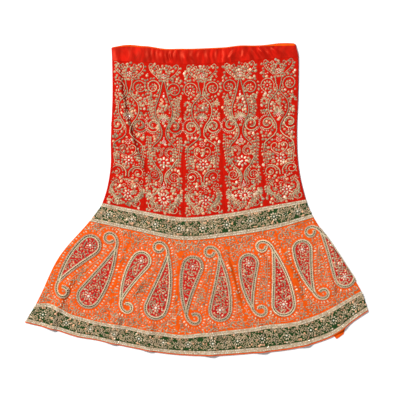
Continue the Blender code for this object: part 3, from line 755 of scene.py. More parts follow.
def crinkled_stitch(work, x, y, way):
    """A short wavy cord of fine thread."""
    turn = work.random.uniform(0, 360)
    span = work.random.uniform(8, 13)
    bend = work.random.uniform(2.0, 3.4) * work.random.choice([-1, 1])
    t = np.linspace(-1, 1, 6)
    flat = np.stack([t * span / 2, bend * np.sin(t * math.pi)], axis=1)
    c, s = compass(turn)
    work.cord(flat @ np.array([[c, s], [-s, c]]) + (x, y), 3.3, FINE_CORD)
    return 2.8


# The front's own surface, to drop needlework on


class Skin:
    """The front's outer surface with its side folds, which finds heights from above."""

    def __init__(self):
        downs = np.linspace(-0.002, 0.9745, 200)
        turns = (0, 20, 40, 60, 75, 90)
        columns = [round_faces(-1, angle, downs)[0] for angle in turns]
        across = np.linspace(0, FRONT_GORES, 44 * FRONT_GORES + 1)[1:-1]
        place = np.repeat(across[None, :], len(downs), axis=0)
        place = np.maximum(place, fold_edge(-1, downs)[:, None] + across * FOLD_SPACING)
        place = np.minimum(place, fold_edge(1, downs)[:, None] - (FRONT_GORES - across) * FOLD_SPACING)
        columns += list(front_point(place, downs[:, None]).swapaxes(0, 1))
        columns += [round_faces(1, angle, downs)[0] for angle in turns[::-1]]
        grid = np.stack(columns, axis=1)
        rows, count = grid.shape[:2]
        n = np.arange(rows * count).reshape(rows, count)
        quads = np.stack([n[:-1, :-1], n[1:, :-1], n[1:, 1:], n[:-1, 1:]], axis=-1).reshape(-1, 4)
        self.tree = BVHTree.FromPolygons(grid.reshape(-1, 3).tolist(), quads.tolist())
        self.sides = np.concatenate([plan(0.0, downs), plan(float(FRONT_GORES), downs)])

    def drop(self, xy, overhang=0.0, margin=0.0):
        """Points on the surface under x, y, their normals, and which of them hit it.

        A place past the skirt's outline by no more than the overhang goes to the fold's side.
        A place within the margin from the skirt's sides is left out.
        """
        place = np.zeros((len(xy), 3))
        normal = np.tile((0.0, 0.0, 1.0), (len(xy), 1))
        hit = np.zeros(len(xy), bool)
        below = Vector((0, 0, -1))
        for n, (x, y) in enumerate(xy):
            where, facing, face, reach = self.tree.ray_cast(Vector((x, y, 1.0)), below)
            if where is None and overhang:
                side = Vector((x, y, FOLD_HEIGHT / 2))
                where, facing, face, reach = self.tree.find_nearest(side, overhang)
            if where is None:
                continue
            hit[n] = True
            place[n] = where
            normal[n] = facing if facing.z > 0 else -facing
        if margin:
            hit &= near_outline(self.sides, xy) > margin
        return place, normal, hit


class Underside:
    """The back's face, where needlework is pressed flat against what the skirt lies on."""

    def drop(self, xy, overhang=0.0, margin=0.0):
        place = np.column_stack([xy, np.full(len(xy), UNDER_ROOM)])
        normal = np.tile((0.0, 0.0, -1.0), (len(xy), 1))
        return place, normal, np.ones(len(xy), bool)


SURFACES = {}


def surface(name):
    if name not in SURFACES:
        SURFACES[name] = Skin() if name == "front" else Underside()
    return SURFACES[name]


def laid_points(work, to_plan, ground, lift=0.0, squeeze=1.0, overhang=0.0, margin=0.0):
    """The needlework as one mesh of points and edges on the cloth, for the node tree."""
    step = 0.4
    points, edges, rows = [], [], []
    skin = surface(ground)
    for path, half, form in work.cords:
        place, normal, hit = skin.drop(to_plan(path), overhang, margin)
        reach = np.concatenate([[0], np.cumsum(np.linalg.norm(np.diff(place, axis=0), axis=-1))])
        place = place + normal * (lift + half * MM * (0.35 if squeeze == 1 else 0.0))
        shade = work.random.random()
        closed = bool(hit.all() and np.allclose(path[0], path[-1]))
        count = len(path) - closed
        first = len(points)
        last = None
        for n in range(count):
            lone = not (n and hit[n - 1]) and not (n + 1 < count and hit[n + 1])
            if not hit[n] or lone:
                last = None
                continue
            points.append(place[n])
            rows.append((form, half * MM * squeeze, shade, reach[n], 0, 0, 1, 1, 0, 0, 1, 1, 1))
            if last is not None:
                edges.append((last, len(points) - 1))
            last = len(points) - 1
        if closed:
            edges.append((last, first))
    if work.bits:
        bits = np.array(work.bits)
        way = np.radians(bits[:, 2])
        xy = to_plan(bits[:, :2])
        ahead = to_plan(bits[:, :2] + step * np.stack([np.cos(way), np.sin(way)], axis=1))
        place, normal, hit = skin.drop(xy, overhang, margin)
        along = np.column_stack([ahead - xy, np.zeros(len(xy))])
        along -= normal * (along * normal).sum(axis=1)[:, None]
        along /= np.maximum(np.linalg.norm(along, axis=1), 1e-9)[:, None]
        place = place + normal * lift
        shades = work.random.random(len(bits))
        for n in np.flatnonzero(hit):
            points.append(place[n])
            size = bits[n, 3:6] * MM * (1, 1, squeeze)
            rows.append((bits[n, 6], 0, shades[n], 0, *normal[n], *along[n], *size))
    return np.array(points), edges, np.array(rows, float)


def needlework_mesh(name, laid):
    points, edges, rows = laid
    mesh = bpy.data.meshes.new(name)
    mesh.from_pydata(points.tolist(), edges, [])
    layers = [
        ("form", "INT", 0, 1),
        ("girth", "FLOAT", 1, 2),
        ("shade", "FLOAT", 2, 3),
        ("reach", "FLOAT", 3, 4),
    ]
    layers += [("facing", "FLOAT_VECTOR", 4, 7), ("along", "FLOAT_VECTOR", 7, 10)]
    layers += [("size", "FLOAT_VECTOR", 10, 13)]
    for title, kind, first, last in layers:
        layer = mesh.attributes.new(title, kind, "POINT")
        values = rows[:, first:last].ravel()
        if kind == "INT":
            layer.data.foreach_set("value", values.astype(np.int32))
        elif kind == "FLOAT":
            layer.data.foreach_set("value", values.astype(np.float32))
        else:
            layer.data.foreach_set("vector", values.astype(np.float32))
    return mesh


def shape_object(name, points, faces):
    mesh = bpy.data.meshes.new(name)
    mesh.from_pydata(points, [], faces)
    # Marks the points at the base of each bit, where the thread finishes paint shade.
    foot = mesh.attributes.new("foot", "FLOAT", "POINT")
    foot.data.foreach_set("value", [1.0 if z < 0 else 0.0 for x, y, z in points])
    outward(mesh)
    return bpy.data.objects.new(name, mesh)


def petal_shape():
    """A domed petal one unit long, wide and high."""
    rim = [(-0.5, 0), (-0.26, -0.5), (0.22, -0.46), (0.5, 0), (0.22, 0.46), (-0.26, 0.5)]
    points = [(x, y, -0.2) for x, y in rim] + [(-0.16, 0, 1.0), (0.22, 0, 0.8)]
    faces = [(0, 1, 6), (1, 2, 7, 6), (2, 3, 7), (3, 4, 7), (4, 5, 6, 7), (5, 0, 6), (5, 4, 3, 2, 1, 0)]
    return shape_object("petal_shape", points, faces)


def stone_shape():
    """A cut stone: a six-sided dome with a flat top."""
    rings = []
    for radius, z in ((0.5, -0.2), (0.46, 0.5), (0.26, 1.0)):
        rings.append(
            [
                (radius * math.cos(math.radians(60 * n)), radius * math.sin(math.radians(60 * n)), z)
                for n in range(6)
            ]
        )
    points = [p for ring in rings for p in ring]
    faces = [tuple(range(12, 18)), tuple(range(5, -1, -1))]
    for low in (0, 6):
        faces += [(low + n, low + (n + 1) % 6, low + 6 + (n + 1) % 6, low + 6 + n) for n in range(6)]
    return shape_object("stone_shape", points, faces)


def needlework_tree():
    """The node tree that turns points and edges into cords, petals, stones and beads."""
    tree = bpy.data.node_groups.get("needlework")
    if tree:
        return tree
    tree = bpy.data.node_groups.new("needlework", "GeometryNodeTree")
    face = tree.interface
    face.new_socket(name="Stitches", in_out="INPUT", socket_type="NodeSocketGeometry")
    sides = face.new_socket(name="Cord sides", in_out="INPUT", socket_type="NodeSocketInt")
    sides.default_value = 5
    fullness = face.new_socket(name="Fullness", in_out="INPUT", socket_type="NodeSocketFloat")
    fullness.default_value = 1.0
    face.new_socket(name="Petal", in_out="INPUT", socket_type="NodeSocketObject")
    face.new_socket(name="Stone", in_out="INPUT", socket_type="NodeSocketObject")
    face.new_socket(name="Worked", in_out="OUTPUT", socket_type="NodeSocketGeometry")
    nodes, links = tree.nodes, tree.links
    start = nodes.new("NodeGroupInput")
    end = nodes.new("NodeGroupOutput")
    join = nodes.new("GeometryNodeJoinGeometry")

    def attribute(name, kind):
        node = nodes.new("GeometryNodeInputNamedAttribute")
        node.data_type = kind
        node.inputs["Name"].default_value = name
        return node.outputs["Attribute"]

    form = attribute("form", "INT")
    girth = attribute("girth", "FLOAT")
    size = attribute("size", "FLOAT_VECTOR")
    thick = nodes.new("ShaderNodeMath")
    thick.operation = "MULTIPLY"
    links.new(girth, thick.inputs[0])
    links.new(start.outputs["Fullness"], thick.inputs[1])
    scaled = nodes.new("ShaderNodeVectorMath")
    scaled.operation = "SCALE"
    links.new(size, scaled.inputs[0])
    links.new(start.outputs["Fullness"], scaled.inputs["Scale"])
    upright = nodes.new("FunctionNodeAlignRotationToVector")
    upright.axis = "Z"
    links.new(attribute("facing", "FLOAT_VECTOR"), upright.inputs["Vector"])
    turned = nodes.new("FunctionNodeAlignRotationToVector")
    turned.axis = "X"
    turned.pivot_axis = "Z"
    links.new(upright.outputs[0], turned.inputs["Rotation"])
    links.new(attribute("along", "FLOAT_VECTOR"), turned.inputs["Vector"])
    profile = nodes.new("GeometryNodeCurvePrimitiveCircle")
    profile.inputs["Radius"].default_value = 1.0
    links.new(start.outputs["Cord sides"], profile.inputs["Resolution"])
    for number, (shape, finish) in FORMS.items():
        same = nodes.new("FunctionNodeCompare")
        same.data_type = "INT"
        same.operation = "EQUAL"
        links.new(form, same.inputs[2])
        same.inputs[3].default_value = number
        part = nodes.new("GeometryNodeSeparateGeometry")
        part.domain = "POINT"
        links.new(start.outputs["Stitches"], part.inputs["Geometry"])
        links.new(same.outputs["Result"], part.inputs["Selection"])
        paint = nodes.new("GeometryNodeSetMaterial")
        paint.inputs["Material"].default_value = FINISHES[finish]()
        if shape == "cord":
            line = nodes.new("GeometryNodeMeshToCurve")
            tube = nodes.new("GeometryNodeCurveToMesh")
            tube.inputs["Fill Caps"].default_value = True
            links.new(part.outputs["Selection"], line.inputs["Mesh"])
            links.new(line.outputs["Curve"], tube.inputs["Curve"])
            links.new(profile.outputs["Curve"], tube.inputs["Profile Curve"])
            links.new(thick.outputs[0], tube.inputs["Scale"])
            made = tube.outputs["Mesh"]
        else:
            info = nodes.new("GeometryNodeObjectInfo")
            links.new(start.outputs["Petal" if shape == "petal" else "Stone"], info.inputs["Object"])
            copies = nodes.new("GeometryNodeInstanceOnPoints")
            links.new(part.outputs["Selection"], copies.inputs["Points"])
            links.new(info.outputs["Geometry"], copies.inputs["Instance"])
            links.new(turned.outputs[0], copies.inputs["Rotation"])
            links.new(scaled.outputs[0], copies.inputs["Scale"])
            real = nodes.new("GeometryNodeRealizeInstances")
            links.new(copies.outputs["Instances"], real.inputs["Geometry"])
            made = real.outputs["Geometry"]
        links.new(made, paint.inputs["Geometry"])
        links.new(paint.outputs["Geometry"], join.inputs["Geometry"])
    links.new(join.outputs["Geometry"], end.inputs["Worked"])
    return tree


def socket_id(tree, name):
    return next(item.identifier for item in tree.interface.items_tree if item.name == name)


def embroider(name, laid, cord_sides=5):
    """One piece of needlework from its laid points, as a plain mesh."""
    guide = bpy.data.objects.new(f"{name}_guide", needlework_mesh(f"{name}_guide", laid))
    bpy.context.scene.collection.objects.link(guide)
    tree = needlework_tree()
    shapes = [petal_shape(), stone_shape()]
    modifier = guide.modifiers.new("needlework", "NODES")
    modifier.node_group = tree
    modifier[socket_id(tree, "Cord sides")] = cord_sides
    modifier[socket_id(tree, "Fullness")] = bpy.context.scene.lehenga_gold.fullness
    modifier[socket_id(tree, "Petal")] = shapes[0]
    modifier[socket_id(tree, "Stone")] = shapes[1]
    bpy.context.view_layer.update()
    depsgraph = bpy.context.evaluated_depsgraph_get()
    mesh = bpy.data.meshes.new_from_object(guide.evaluated_get(depsgraph), depsgraph=depsgraph)
    mesh.name = name
    for layer in ("form", "girth", "facing", "along", "size"):
        if layer in mesh.attributes:
            mesh.attributes.remove(mesh.attributes[layer])
    guide.modifiers.clear()
    bpy.data.objects.remove(guide)
    for shape in shapes:
        bpy.data.objects.remove(shape)
    obj = bpy.data.objects.new(name, mesh)
    bpy.context.scene.collection.objects.link(obj)
    dress(obj, "lace")
    print(f"{name}: {sum(len(p.vertices) - 2 for p in mesh.polygons)} triangles")
    return obj


def mirrored(side, points):
    return [(side * x, y) for x, y in points]


def hook(work, side, points, curl_at, hand, leaf_sides=(-1, 1), width=2.5):
    """A leafy stem that ends in a small curl round curl_at."""
    path = path_through(mirrored(side, points))
    work.cord(path, width)
    work.leaves(path, pitch=9, sides=leaf_sides)
    x, y = curl_at
    end = path[-1] - (side * x, y)
    start = math.degrees(math.atan2(end[1], end[0]))
    work.curl(side * x, y, float(np.hypot(*end)), start, 0.9, side * hand, tight=0.3, width=width)


def outer_arc(x, y, radius, spread=105):
    """The part of a circle that faces away from the gore's middle."""
    middle = 0 if x > 0 else 180
    angle = np.radians(middle + np.linspace(-spread, spread, 16))
    return np.stack([x + radius * np.cos(angle), y + radius * np.sin(angle)], axis=1)


def star_curl(work, x, y, radius, start, hand, petals=5):
    """A scroll that winds in to a star flower, with petals outside."""
    work.curl(x, y, radius, start, 1.3, hand, tight=0.40, width=3.6)
    work.leaves(outer_arc(x, y, radius), pitch=9.4, sides=(-1,), lean=35)
    for n in range(petals):
        px, py = (x, y) + 0.34 * radius * compass(start + 360 * n / petals)
        work.bit(px, py, start + 360 * n / petals, 9.4, 7.4, 2.4, work.any_petal())
    work.stone(x, y, 3.6)


def beaded_curl(work, x, y, radius, start, hand):
    """A scroll with a row of cross stitches round its edge and petals inside."""
    path = work.curl(x, y, radius - 3.0, start, 1.25, hand, tight=0.40, width=3.9)
    work.row(outer_arc(x, y, radius + 1.6), 5.6, (6.4, 4.2), LIGHT_PETAL)
    work.leaves(path[len(path) // 3 :], pitch=8.0, size=(7.4, 5.2), sides=(hand,), off=4.2)


def crescent(work, side, x, y, radius):
    """A broad C of cross stitches between two cords, open towards the gore's edge."""
    angle = np.radians(np.linspace(-150, 75, 20))
    for reach in (radius + 1.0, radius - 5.4):
        arc = np.stack([x + side * reach * np.cos(angle), y + reach * np.sin(angle)], axis=1)
        work.cord(arc, 1.9)
    reach = radius - 2.2
    arc = np.stack([x + side * reach * np.cos(angle), y + reach * np.sin(angle)], axis=1)
    work.row(arc, 4.6, (5.0, 3.0), LIGHT_PETAL)


def petal_column(work, side, x, top, bottom):
    """A wavy upright stem with petals on both sides."""
    middle = (top + bottom) / 2
    points = [(x, top), (x + 2.5, middle - 12), (x - 1, middle + 8), (x - 4, bottom)]
    path = path_through(mirrored(side, points))
    work.cord(path, 2.2)
    work.leaves(path, pitch=9.8, size=(10.4, 7.6), lean=44, off=5.6)


def lotus(work, x, y, half):
    """An upright fan of petals on a curled base."""
    work.fan(x, y + half * 0.42, half * 1.25, -90, 170, 9, PETAL, wide=0.27)
    work.fan(x, y + half * 0.30, half * 0.72, -90, 120, 5, LIGHT_PETAL, wide=0.34)
    work.flower(x, y + half * 0.5, 8.0, 7, STONE, heart=0.5)
    for side in (-1, 1):
        work.curl(x + side * half * 0.62, y + half * 0.72, half * 0.30, -90, 0.8, side, width=2.4)


def hip_top(work):
    """Hooks and tufts under the waistband."""
    for side in (-1, 1):
        hook(work, side, [(17, 96), (26, 88), (38, 78), (46, 66), (47, 56)], (40, 55), -1, (1,))
        hook(work, side, [(7, 104), (9, 88), (15, 72), (22, 62)], (18, 58), -1)
        work.fan(side * 31, 63, 12, -90 + side * 10, 130, 3, wide=0.56)
    work.fan(0, 70, 14, -90, 130, 4, wide=0.50)


def hip_foot(work, left, right):
    """Scrolls above the hip border's lace; left and right are x, y and radius."""
    for side, (x, y, radius) in ((-1, left), (1, right)):
        points = [(50, 462), (52, 478), (42, 494), (28, 500), (18, 512), (12, 528)]
        path = path_through(mirrored(side, points))
        work.cord(path, 2.4)
        work.leaves(path, pitch=8.6, sides=(-1, 1))
        work.curl(x, y, radius, -90, 1.15, -side, tight=0.4, width=2.6)
        work.leaves(work.curl(x, y, radius * 0.5, 90, 0.7, side, width=2.0), pitch=6, size=(6, 4), off=3.2)


def hip_design_a(work):
    """Star scrolls, a lotus, crescents and an eight-petal flower."""
    hip_top(work)
    work.flower(0, 87, 8.5, 6, STONE, heart=0.4)
    star_curl(work, -34, 122, 22, 42, -1)
    star_curl(work, 33, 130, 23, 140, 1)
    work.bit(0, 150, 90, 11, 7, 2.4, STONE)
    work.stone(0, 140, 4)
    work.fan(0, 190, 14, -90, 110, 5, PETAL)
    for side in (-1, 1):
        inner = path_through(mirrored(side, [
            (3, 104), (6, 118), (10, 136), (17, 160), (26, 186), (26, 210), (16, 236), (7, 260), (8, 280),
            (20, 298), (31, 308), (40, 322),
        ]))
        work.stem(inner)
        work.leaves(inner[8:], pitch=9.5, sides=(-side,), off=7.0)
        outer = path_through(mirrored(side, [(48, 152), (42, 172), (46, 196), (38, 214), (27, 228)]))
        work.cord(outer, 2.4)
        work.leaves(outer, pitch=8.6)
        work.fan(side * 32, 172, 11, -90, 200, 6)
        petal_column(work, side, 48, 282, 376)
        crescent(work, -side, side * 19, 331, 15)
        work.leaves(path_through(mirrored(side, [(33, 318), (34, 334), (30, 352)])), pitch=8, off=3.6)
        points = [(43, 350), (33, 364), (24, 379), (12, 391), (5, 403), (4, 420), (9, 434)]
        stem = path_through(mirrored(side, points))
        work.stem(stem)
        work.leaves(stem, pitch=9, off=6.0, sides=(-side,))
        work.curl(side * 14, 441, 6.5, 235, 0.9, -side, width=2.2)
        work.fan(side * 27, 446, 14, 90 - side * 30, 110, 5)
        petal_column(work, side, 49, 410, 452)
        work.fan(side * 46, 482, 15, -90, 210, 8, LIGHT_PETAL, wide=0.34)
    lotus(work, 0, 218, 18)
    beaded_curl(work, -34, 246, 25, 150, -1)
    beaded_curl(work, 34, 247, 25, 30, 1)
    work.drop(0, 298, 7.5)
    work.flower(0, 364, 20, 8, LIGHT_PETAL, heart=0.36)
    work.curl(-31, 406, 18, -60, 1.3, 1, tight=0.5, width=2.8)
    work.flower(-31, 407, 9.5, 5)
    work.curl(34, 410, 19, -120, 1.3, -1, tight=0.5, width=2.8)
    work.flower(34, 411, 10.5, 6)
    work.drop(0, 444, 6.5)
    work.flower(0, 482, 21, 12, LIGHT_PETAL, heart=0.4)
    hip_foot(work, (-40, 511, 15), (33, 513, 17))


def hip_design_b(work):
    """Open stems, bracketed flowers, heart scrolls and feathered scrolls."""
    hip_top(work)
    work.flower(2, 85, 8.5, 6, STONE, heart=0.4)
    star_curl(work, 35, 125, 22, 142, 1)
    work.flower(-36, 128, 17, 9, PETAL, heart=0.3)
    work.curl(-36, 128, 22, 30, 0.8, -1, tight=0.9, width=2.8)
    for side in (-1, 1):
        inner = path_through(mirrored(side, [
            (10, 100), (9, 118), (4, 138), (6, 150), (17, 163), (29, 178), (32, 204), (24, 226), (14, 240),
            (7, 256), (6, 276),
        ]))
        work.stem(inner)
        work.leaves(inner[10:], pitch=9.5, sides=(-side,), off=7.0)
        work.leaves(inner[12:24], pitch=9, sides=(side,), off=7.0, size=(9, 6.4))
        work.fan(side * 46, 176, 14, -90, 210, 7)
        work.fan(side * 48, 208, 12, 90, 200, 6)
        lower = path_through(mirrored(side, [(6, 276), (16, 290), (30, 300), (44, 312), (47, 330)]))
        work.stem(lower)
        points = [(2, 352), (14, 346), (25, 334), (24, 320), (13, 315), (7, 322), (11, 329)]
        heart = path_through(mirrored(side, points))
        work.cord(heart, 2.8)
        work.row(heart[:7], 4.6, (5.0, 3.0), LIGHT_PETAL, off=side * 4.6)
        petal_column(work, side, 46, 316, 384)
        work.leaves(path_through(mirrored(side, [(31, 340), (34, 356), (30, 374)])), pitch=8, off=3.8)
        stem = path_through(mirrored(side, [(40, 386), (24, 388), (12, 396), (5, 408), (5, 424)]))
        work.stem(stem)
        work.fan(side * 8, 430, 12, 90 + side * 10, 90, 3)
        rim = work.curl(side * 34, 408, 18, 180 if side > 0 else 0, 1.25, side, tight=0.34, width=2.8)
        work.leaves(rim[: len(rim) * 3 // 5], pitch=6.6, size=(8, 4.4), lean=80, off=5.8, sides=(-side,))
        work.curl(side * 45, 437, 6.5, -90, 0.95, side, width=2.2)
        work.curl(side * 8, 458, 6.5, 200 if side > 0 else -20, 0.95, side, width=2.4)
        outer = path_through(mirrored(side, [(30, 440), (44, 452), (50, 470), (44, 490), (34, 502)]))
        work.cord(outer, 2.5)
        work.leaves(outer, pitch=8.2, size=(8.4, 5.2))
        work.fan(side * 26, 474, 12, 90 - side * 40, 160, 5)
    work.flower(0, 160, 8.5, 6, PETAL)
    work.fan(0, 186, 13, -90, 120, 5)
    lotus(work, 0, 214, 17)
    beaded_curl(work, -36, 248, 24, 150, -1)
    beaded_curl(work, 36, 248, 24, 30, 1)
    work.flower(0, 304, 11, 8, LIGHT_PETAL)
    work.flower(3, 367, 17, 8, LIGHT_PETAL, heart=0.44)
    work.flower(4, 441, 9.5, 6, LIGHT_PETAL)
    work.flower(8, 484, 17, 8, LIGHT_PETAL, heart=0.44)
    hip_foot(work, (-30, 516, 14), (40, 512, 17))


def hip_work(gore, under=False):
    """The gold work of one hip gore."""
    work = Needlework(seed=40 + gore)
    if gore % 2:
        hip_design_a(work)
    else:
        hip_design_b(work)
    down = TIERS["hip_panel"]
    half = 53 if not under else 47

    def inside(x, y):
        wave = 2.8 * np.sin(y / 17 + gore) + 2.4 * np.sin(y / 7.3 + 2 * gore)
        worked = (np.abs(x) < half + 3 * (y > 440) + wave) & (y > 50) & (y < 531)
        for first, last, wide in ((104, 148, 10), (252, 288, 9), (396, 418, 6)):
            worked &= (np.abs(x) > wide) | (y < first) | (y > last)
        return worked

    low, high = (-62, down.top / MM), (62, down.bottom / MM)
    share = 0.95 if gore in (0, 2) else 0.84
    work.fill(low, high, inside, 6.4, 2.4, 20, share, leaf_stitch, shy=2.0)
    return work


def gore_plan(gore):
    """Lays millimetres from the middle of a front gore on the skirt's plan."""

    def to_plan(points):
        points = np.asarray(points, float)
        down = points[:, 1] * MM
        across = gore + 0.5 + points[:, 0] * MM / gore_width(gore + 0.5, down)
        return plan(across, down)

    return to_plan


def back_plan(gore):
    """Lays millimetres from the middle of a back gore, counted from the left, on the plan."""

    def to_plan(points):
        points = np.asarray(points, float)
        down = points[:, 1] * MM
        middle = back_seam(gore + 0.5, down)
        return plan(middle + points[:, 0] * MM / gore_width(middle, down), down)

    return to_plan


# Paisleys


def paisley_axis(kind, body_steps=16, curl_steps=26):
    """Points, headings and half widths along a paisley, with its bulb at 0, 0 and its neck up."""
    rows = []
    heading = math.pi / 2 - kind.bend / 2
    x, y = 0.0, 0.0
    for n in range(body_steps):
        t = n / body_steps
        half = TAIL_HALF_WIDTH + (kind.bulb_radius - TAIL_HALF_WIDTH) * (1 - t**BODY_TAPER)
        rows.append((x, y, heading, half))
        turn = kind.bend / body_steps
        x += kind.body / body_steps * math.cos(heading + turn / 2)
        y += kind.body / body_steps * math.sin(heading + turn / 2)
        heading += turn
    step = kind.curl_length / curl_steps
    for n in range(curl_steps + 1):
        rows.append((x, y, heading, TAIL_HALF_WIDTH))
        radius = kind.curl_wide + (CURL_TIGHT - kind.curl_wide) * min(1, 2 * n / curl_steps)
        x += step * math.cos(heading + step / radius / 2)
        y += step * math.sin(heading + step / radius / 2)
        heading += step / radius
    return np.array(rows), body_steps


def paisley_lines(kind, inset):
    """The paisley's sides and bulb moved in by inset, as right side, left side and round end."""
    axis, body = paisley_axis(kind)
    half = np.maximum(axis[:, 3] - inset, 0)
    out = np.stack([-np.sin(axis[:, 2]), np.cos(axis[:, 2])], axis=1)
    left = axis[:, :2] + out * half[:, None]
    right = axis[:, :2] - out * half[:, None]
    first = axis[0, 2] + math.pi / 2
    angles = first + math.pi * np.arange(1, 18) / 18
    reach = kind.bulb_radius - inset
    bulb = np.stack([reach * np.cos(angles), reach * np.sin(angles)], axis=1)
    return right, left, bulb, body


def paisley_outline(kind, inset=0.0):
    right, left, bulb, body = paisley_lines(kind, inset)
    return np.concatenate([bulb, right, left[::-1]])


def paisley_frame(patch):
    """Turns paisley points in metres into the plan's x and y."""
    bulb = plan(*patch.bulb)
    along = plan(*patch.neck) - bulb
    length = float(np.hypot(*along))
    up = along / length
    sideways = np.array([up[1], -up[0]])
    scale = length / patch.kind.body

    def to_plan(points):
        points = np.asarray(points, float)
        return bulb + scale * (points[:, :1] * sideways + points[:, 1:] * up)

    return to_plan


def inside_outline(outline, points):
    """Which points lie inside a closed outline."""
    x, y = points[:, 0], points[:, 1]
    odd = np.zeros(len(points), bool)
    for (ax, ay), (bx, by) in zip(outline, np.roll(outline, -1, axis=0)):
        crosses = (ay > y) != (by > y)
        odd ^= crosses & (x < (bx - ax) * (y - ay) / (by - ay + 1e-12) + ax)
    return odd


def near_outline(outline, points):
    """Each point's distance from the outline's own points."""
    gaps = points[:, None, :] - outline[None, :, :]
    return np.sqrt((gaps**2).sum(axis=-1)).min(axis=1)


def paisley_cloth(patch):
    """A thin patch cut to a paisley's outline, laid on the front just above the gore."""
    to_plan = paisley_frame(patch)
    outline = paisley_outline(patch.kind)
    closed = np.vstack([outline, outline[:1]]) / MM
    rim = to_plan(path_through(closed, 3.2)[:-1] * MM)
    low, high = rim.min(axis=0), rim.max(axis=0)
    gx, gy = np.meshgrid(np.arange(low[0], high[0], 0.006), np.arange(low[1], high[1], 0.006))
    grid = np.stack([gx.ravel(), gy.ravel()], axis=1)
    grid = grid[inside_outline(rim, grid)]
    grid = grid[near_outline(rim, grid) > 0.003]
    flat = [Vector(p) for p in np.concatenate([rim, grid]).tolist()]
    ring = [(n, (n + 1) % len(rim)) for n in range(len(rim))]
    verts, edges, faces, *origins = geometry.delaunay_2d_cdt(flat, ring, [], 1, 1e-6)
    flat = np.array([tuple(v) for v in verts])
    place, normal, hit = surface("front").drop(flat, 0.02)
    count = len(flat)
    points = np.concatenate([place + normal * (SEAM_GAP + PATCH_WALL), place + normal * SEAM_GAP])
    uses = {}
    for face in faces:
        for a, b in zip(face, face[1:] + face[:1]):
            uses[(a, b)] = True
    rims = [(a, b) for a, b in uses if (b, a) not in uses]
    made = [tuple(face) for face in faces] + [tuple(n + count for n in face[::-1]) for face in faces]
    made += [(b, a, a + count, b + count) for a, b in rims]
    mesh = bpy.data.meshes.new(f"{patch.name}_cloth")
    mesh.from_pydata(points.tolist(), [], made)
    with_uv(mesh, np.concatenate([flat, flat]))
    outward(mesh)
    top = place[np.array([f for f in faces if len(f) == 3])]
    area = float(np.linalg.norm(np.cross(top[:, 1] - top[:, 0], top[:, 2] - top[:, 0]), axis=1).sum()) / 2
    size = outline.max(axis=0) - outline.min(axis=0)
    return mesh, (float(size[0]), float(size[1])), area, bool(hit.all())


def paisley_trim(work, patch):
    """Two pale cords with dark stitches between, round the patch and along its tail."""
    kind = patch.kind
    right, left, bulb, body = paisley_lines(kind, TAIL_HALF_WIDTH)
    line = np.concatenate([left[: body + 1][::-1], bulb, right]) / MM
    line = path_through(line, 3.4)
    for offset in (-2.9, 2.9):
        work.cord(sidestep(line, offset), 3.0, PALE_CORD)
    for offset in (-5.1, 5.1):
        work.row(sidestep(line, offset), 4.8, (4.8, 3.8), LIGHT_PETAL, rise=1.8)
    work.cord(line, 2.5, DARK_CORD)
    work.row(line, 6.8, (6.0, 3.6), LIGHT_PETAL, rise=4.0)


def paisley_fill(work, patch):
    """A stone flower in the bulb and small gold stitches over the red."""
    kind = patch.kind
    right, left, bulb, body = paisley_lines(kind, 2 * TAIL_HALF_WIDTH + 0.0012)
    outline = np.concatenate([bulb, right[:body], left[:body][::-1]]) / MM
    work.flower(0, 0, kind.bulb_radius / MM * 0.36, 8, LIGHT_PETAL, heart=0.76)

    def inside(x, y):
        return inside_outline(outline, np.stack([x, y], axis=1))

    def stitch(work, x, y, way):
        if work.random.random() < 0.82:
            return seed_stitch(work, x, y, way, 7.6)
        return crinkled_stitch(work, x, y, way)

    low, high = outline.min(axis=0), outline.max(axis=0)
    work.fill(low, high, inside, 5.6, 2.3, None, 1.0, stitch)


def paisley_work(patch):
    work = Needlework(seed=90 + PATCHES.index(patch))
    paisley_trim(work, patch)
    paisley_fill(work, patch)
    return work


def unplan(xy):
    """across and down of places on the plan, by Newton's method from the nearest of a table."""
    xy = np.asarray(xy, float)
    grid = np.meshgrid(np.linspace(0, FRONT_GORES, 101), np.linspace(0.5, 0.99, 50))
    table = np.stack(grid, axis=-1).reshape(-1, 2)
    known = plan(table[:, 0], table[:, 1])
    nearest = ((xy[:, None, :] - known[None, :, :]) ** 2).sum(axis=-1).argmin(axis=1)
    place = table[nearest].copy()
    step = 1e-4
    for turn in range(6):
        here = plan(place[:, 0], place[:, 1])
        across = (plan(place[:, 0] + step, place[:, 1]) - here) / step
        down = (plan(place[:, 0], place[:, 1] + step) - here) / step
        miss = xy - here
        det = across[:, 0] * down[:, 1] - across[:, 1] * down[:, 0]
        place[:, 0] += (miss[:, 0] * down[:, 1] - miss[:, 1] * down[:, 0]) / det
        place[:, 1] += (across[:, 0] * miss[:, 1] - across[:, 1] * miss[:, 0]) / det
    return place


def in_gore(gore, xy):
    """Plan places as millimetres from the middle of a gore."""
    place = unplan(xy)
    down = place[:, 1]
    x = (place[:, 0] - gore - 0.5) * gore_width(gore + 0.5, down)
    return np.stack([x, down], axis=1) / MM


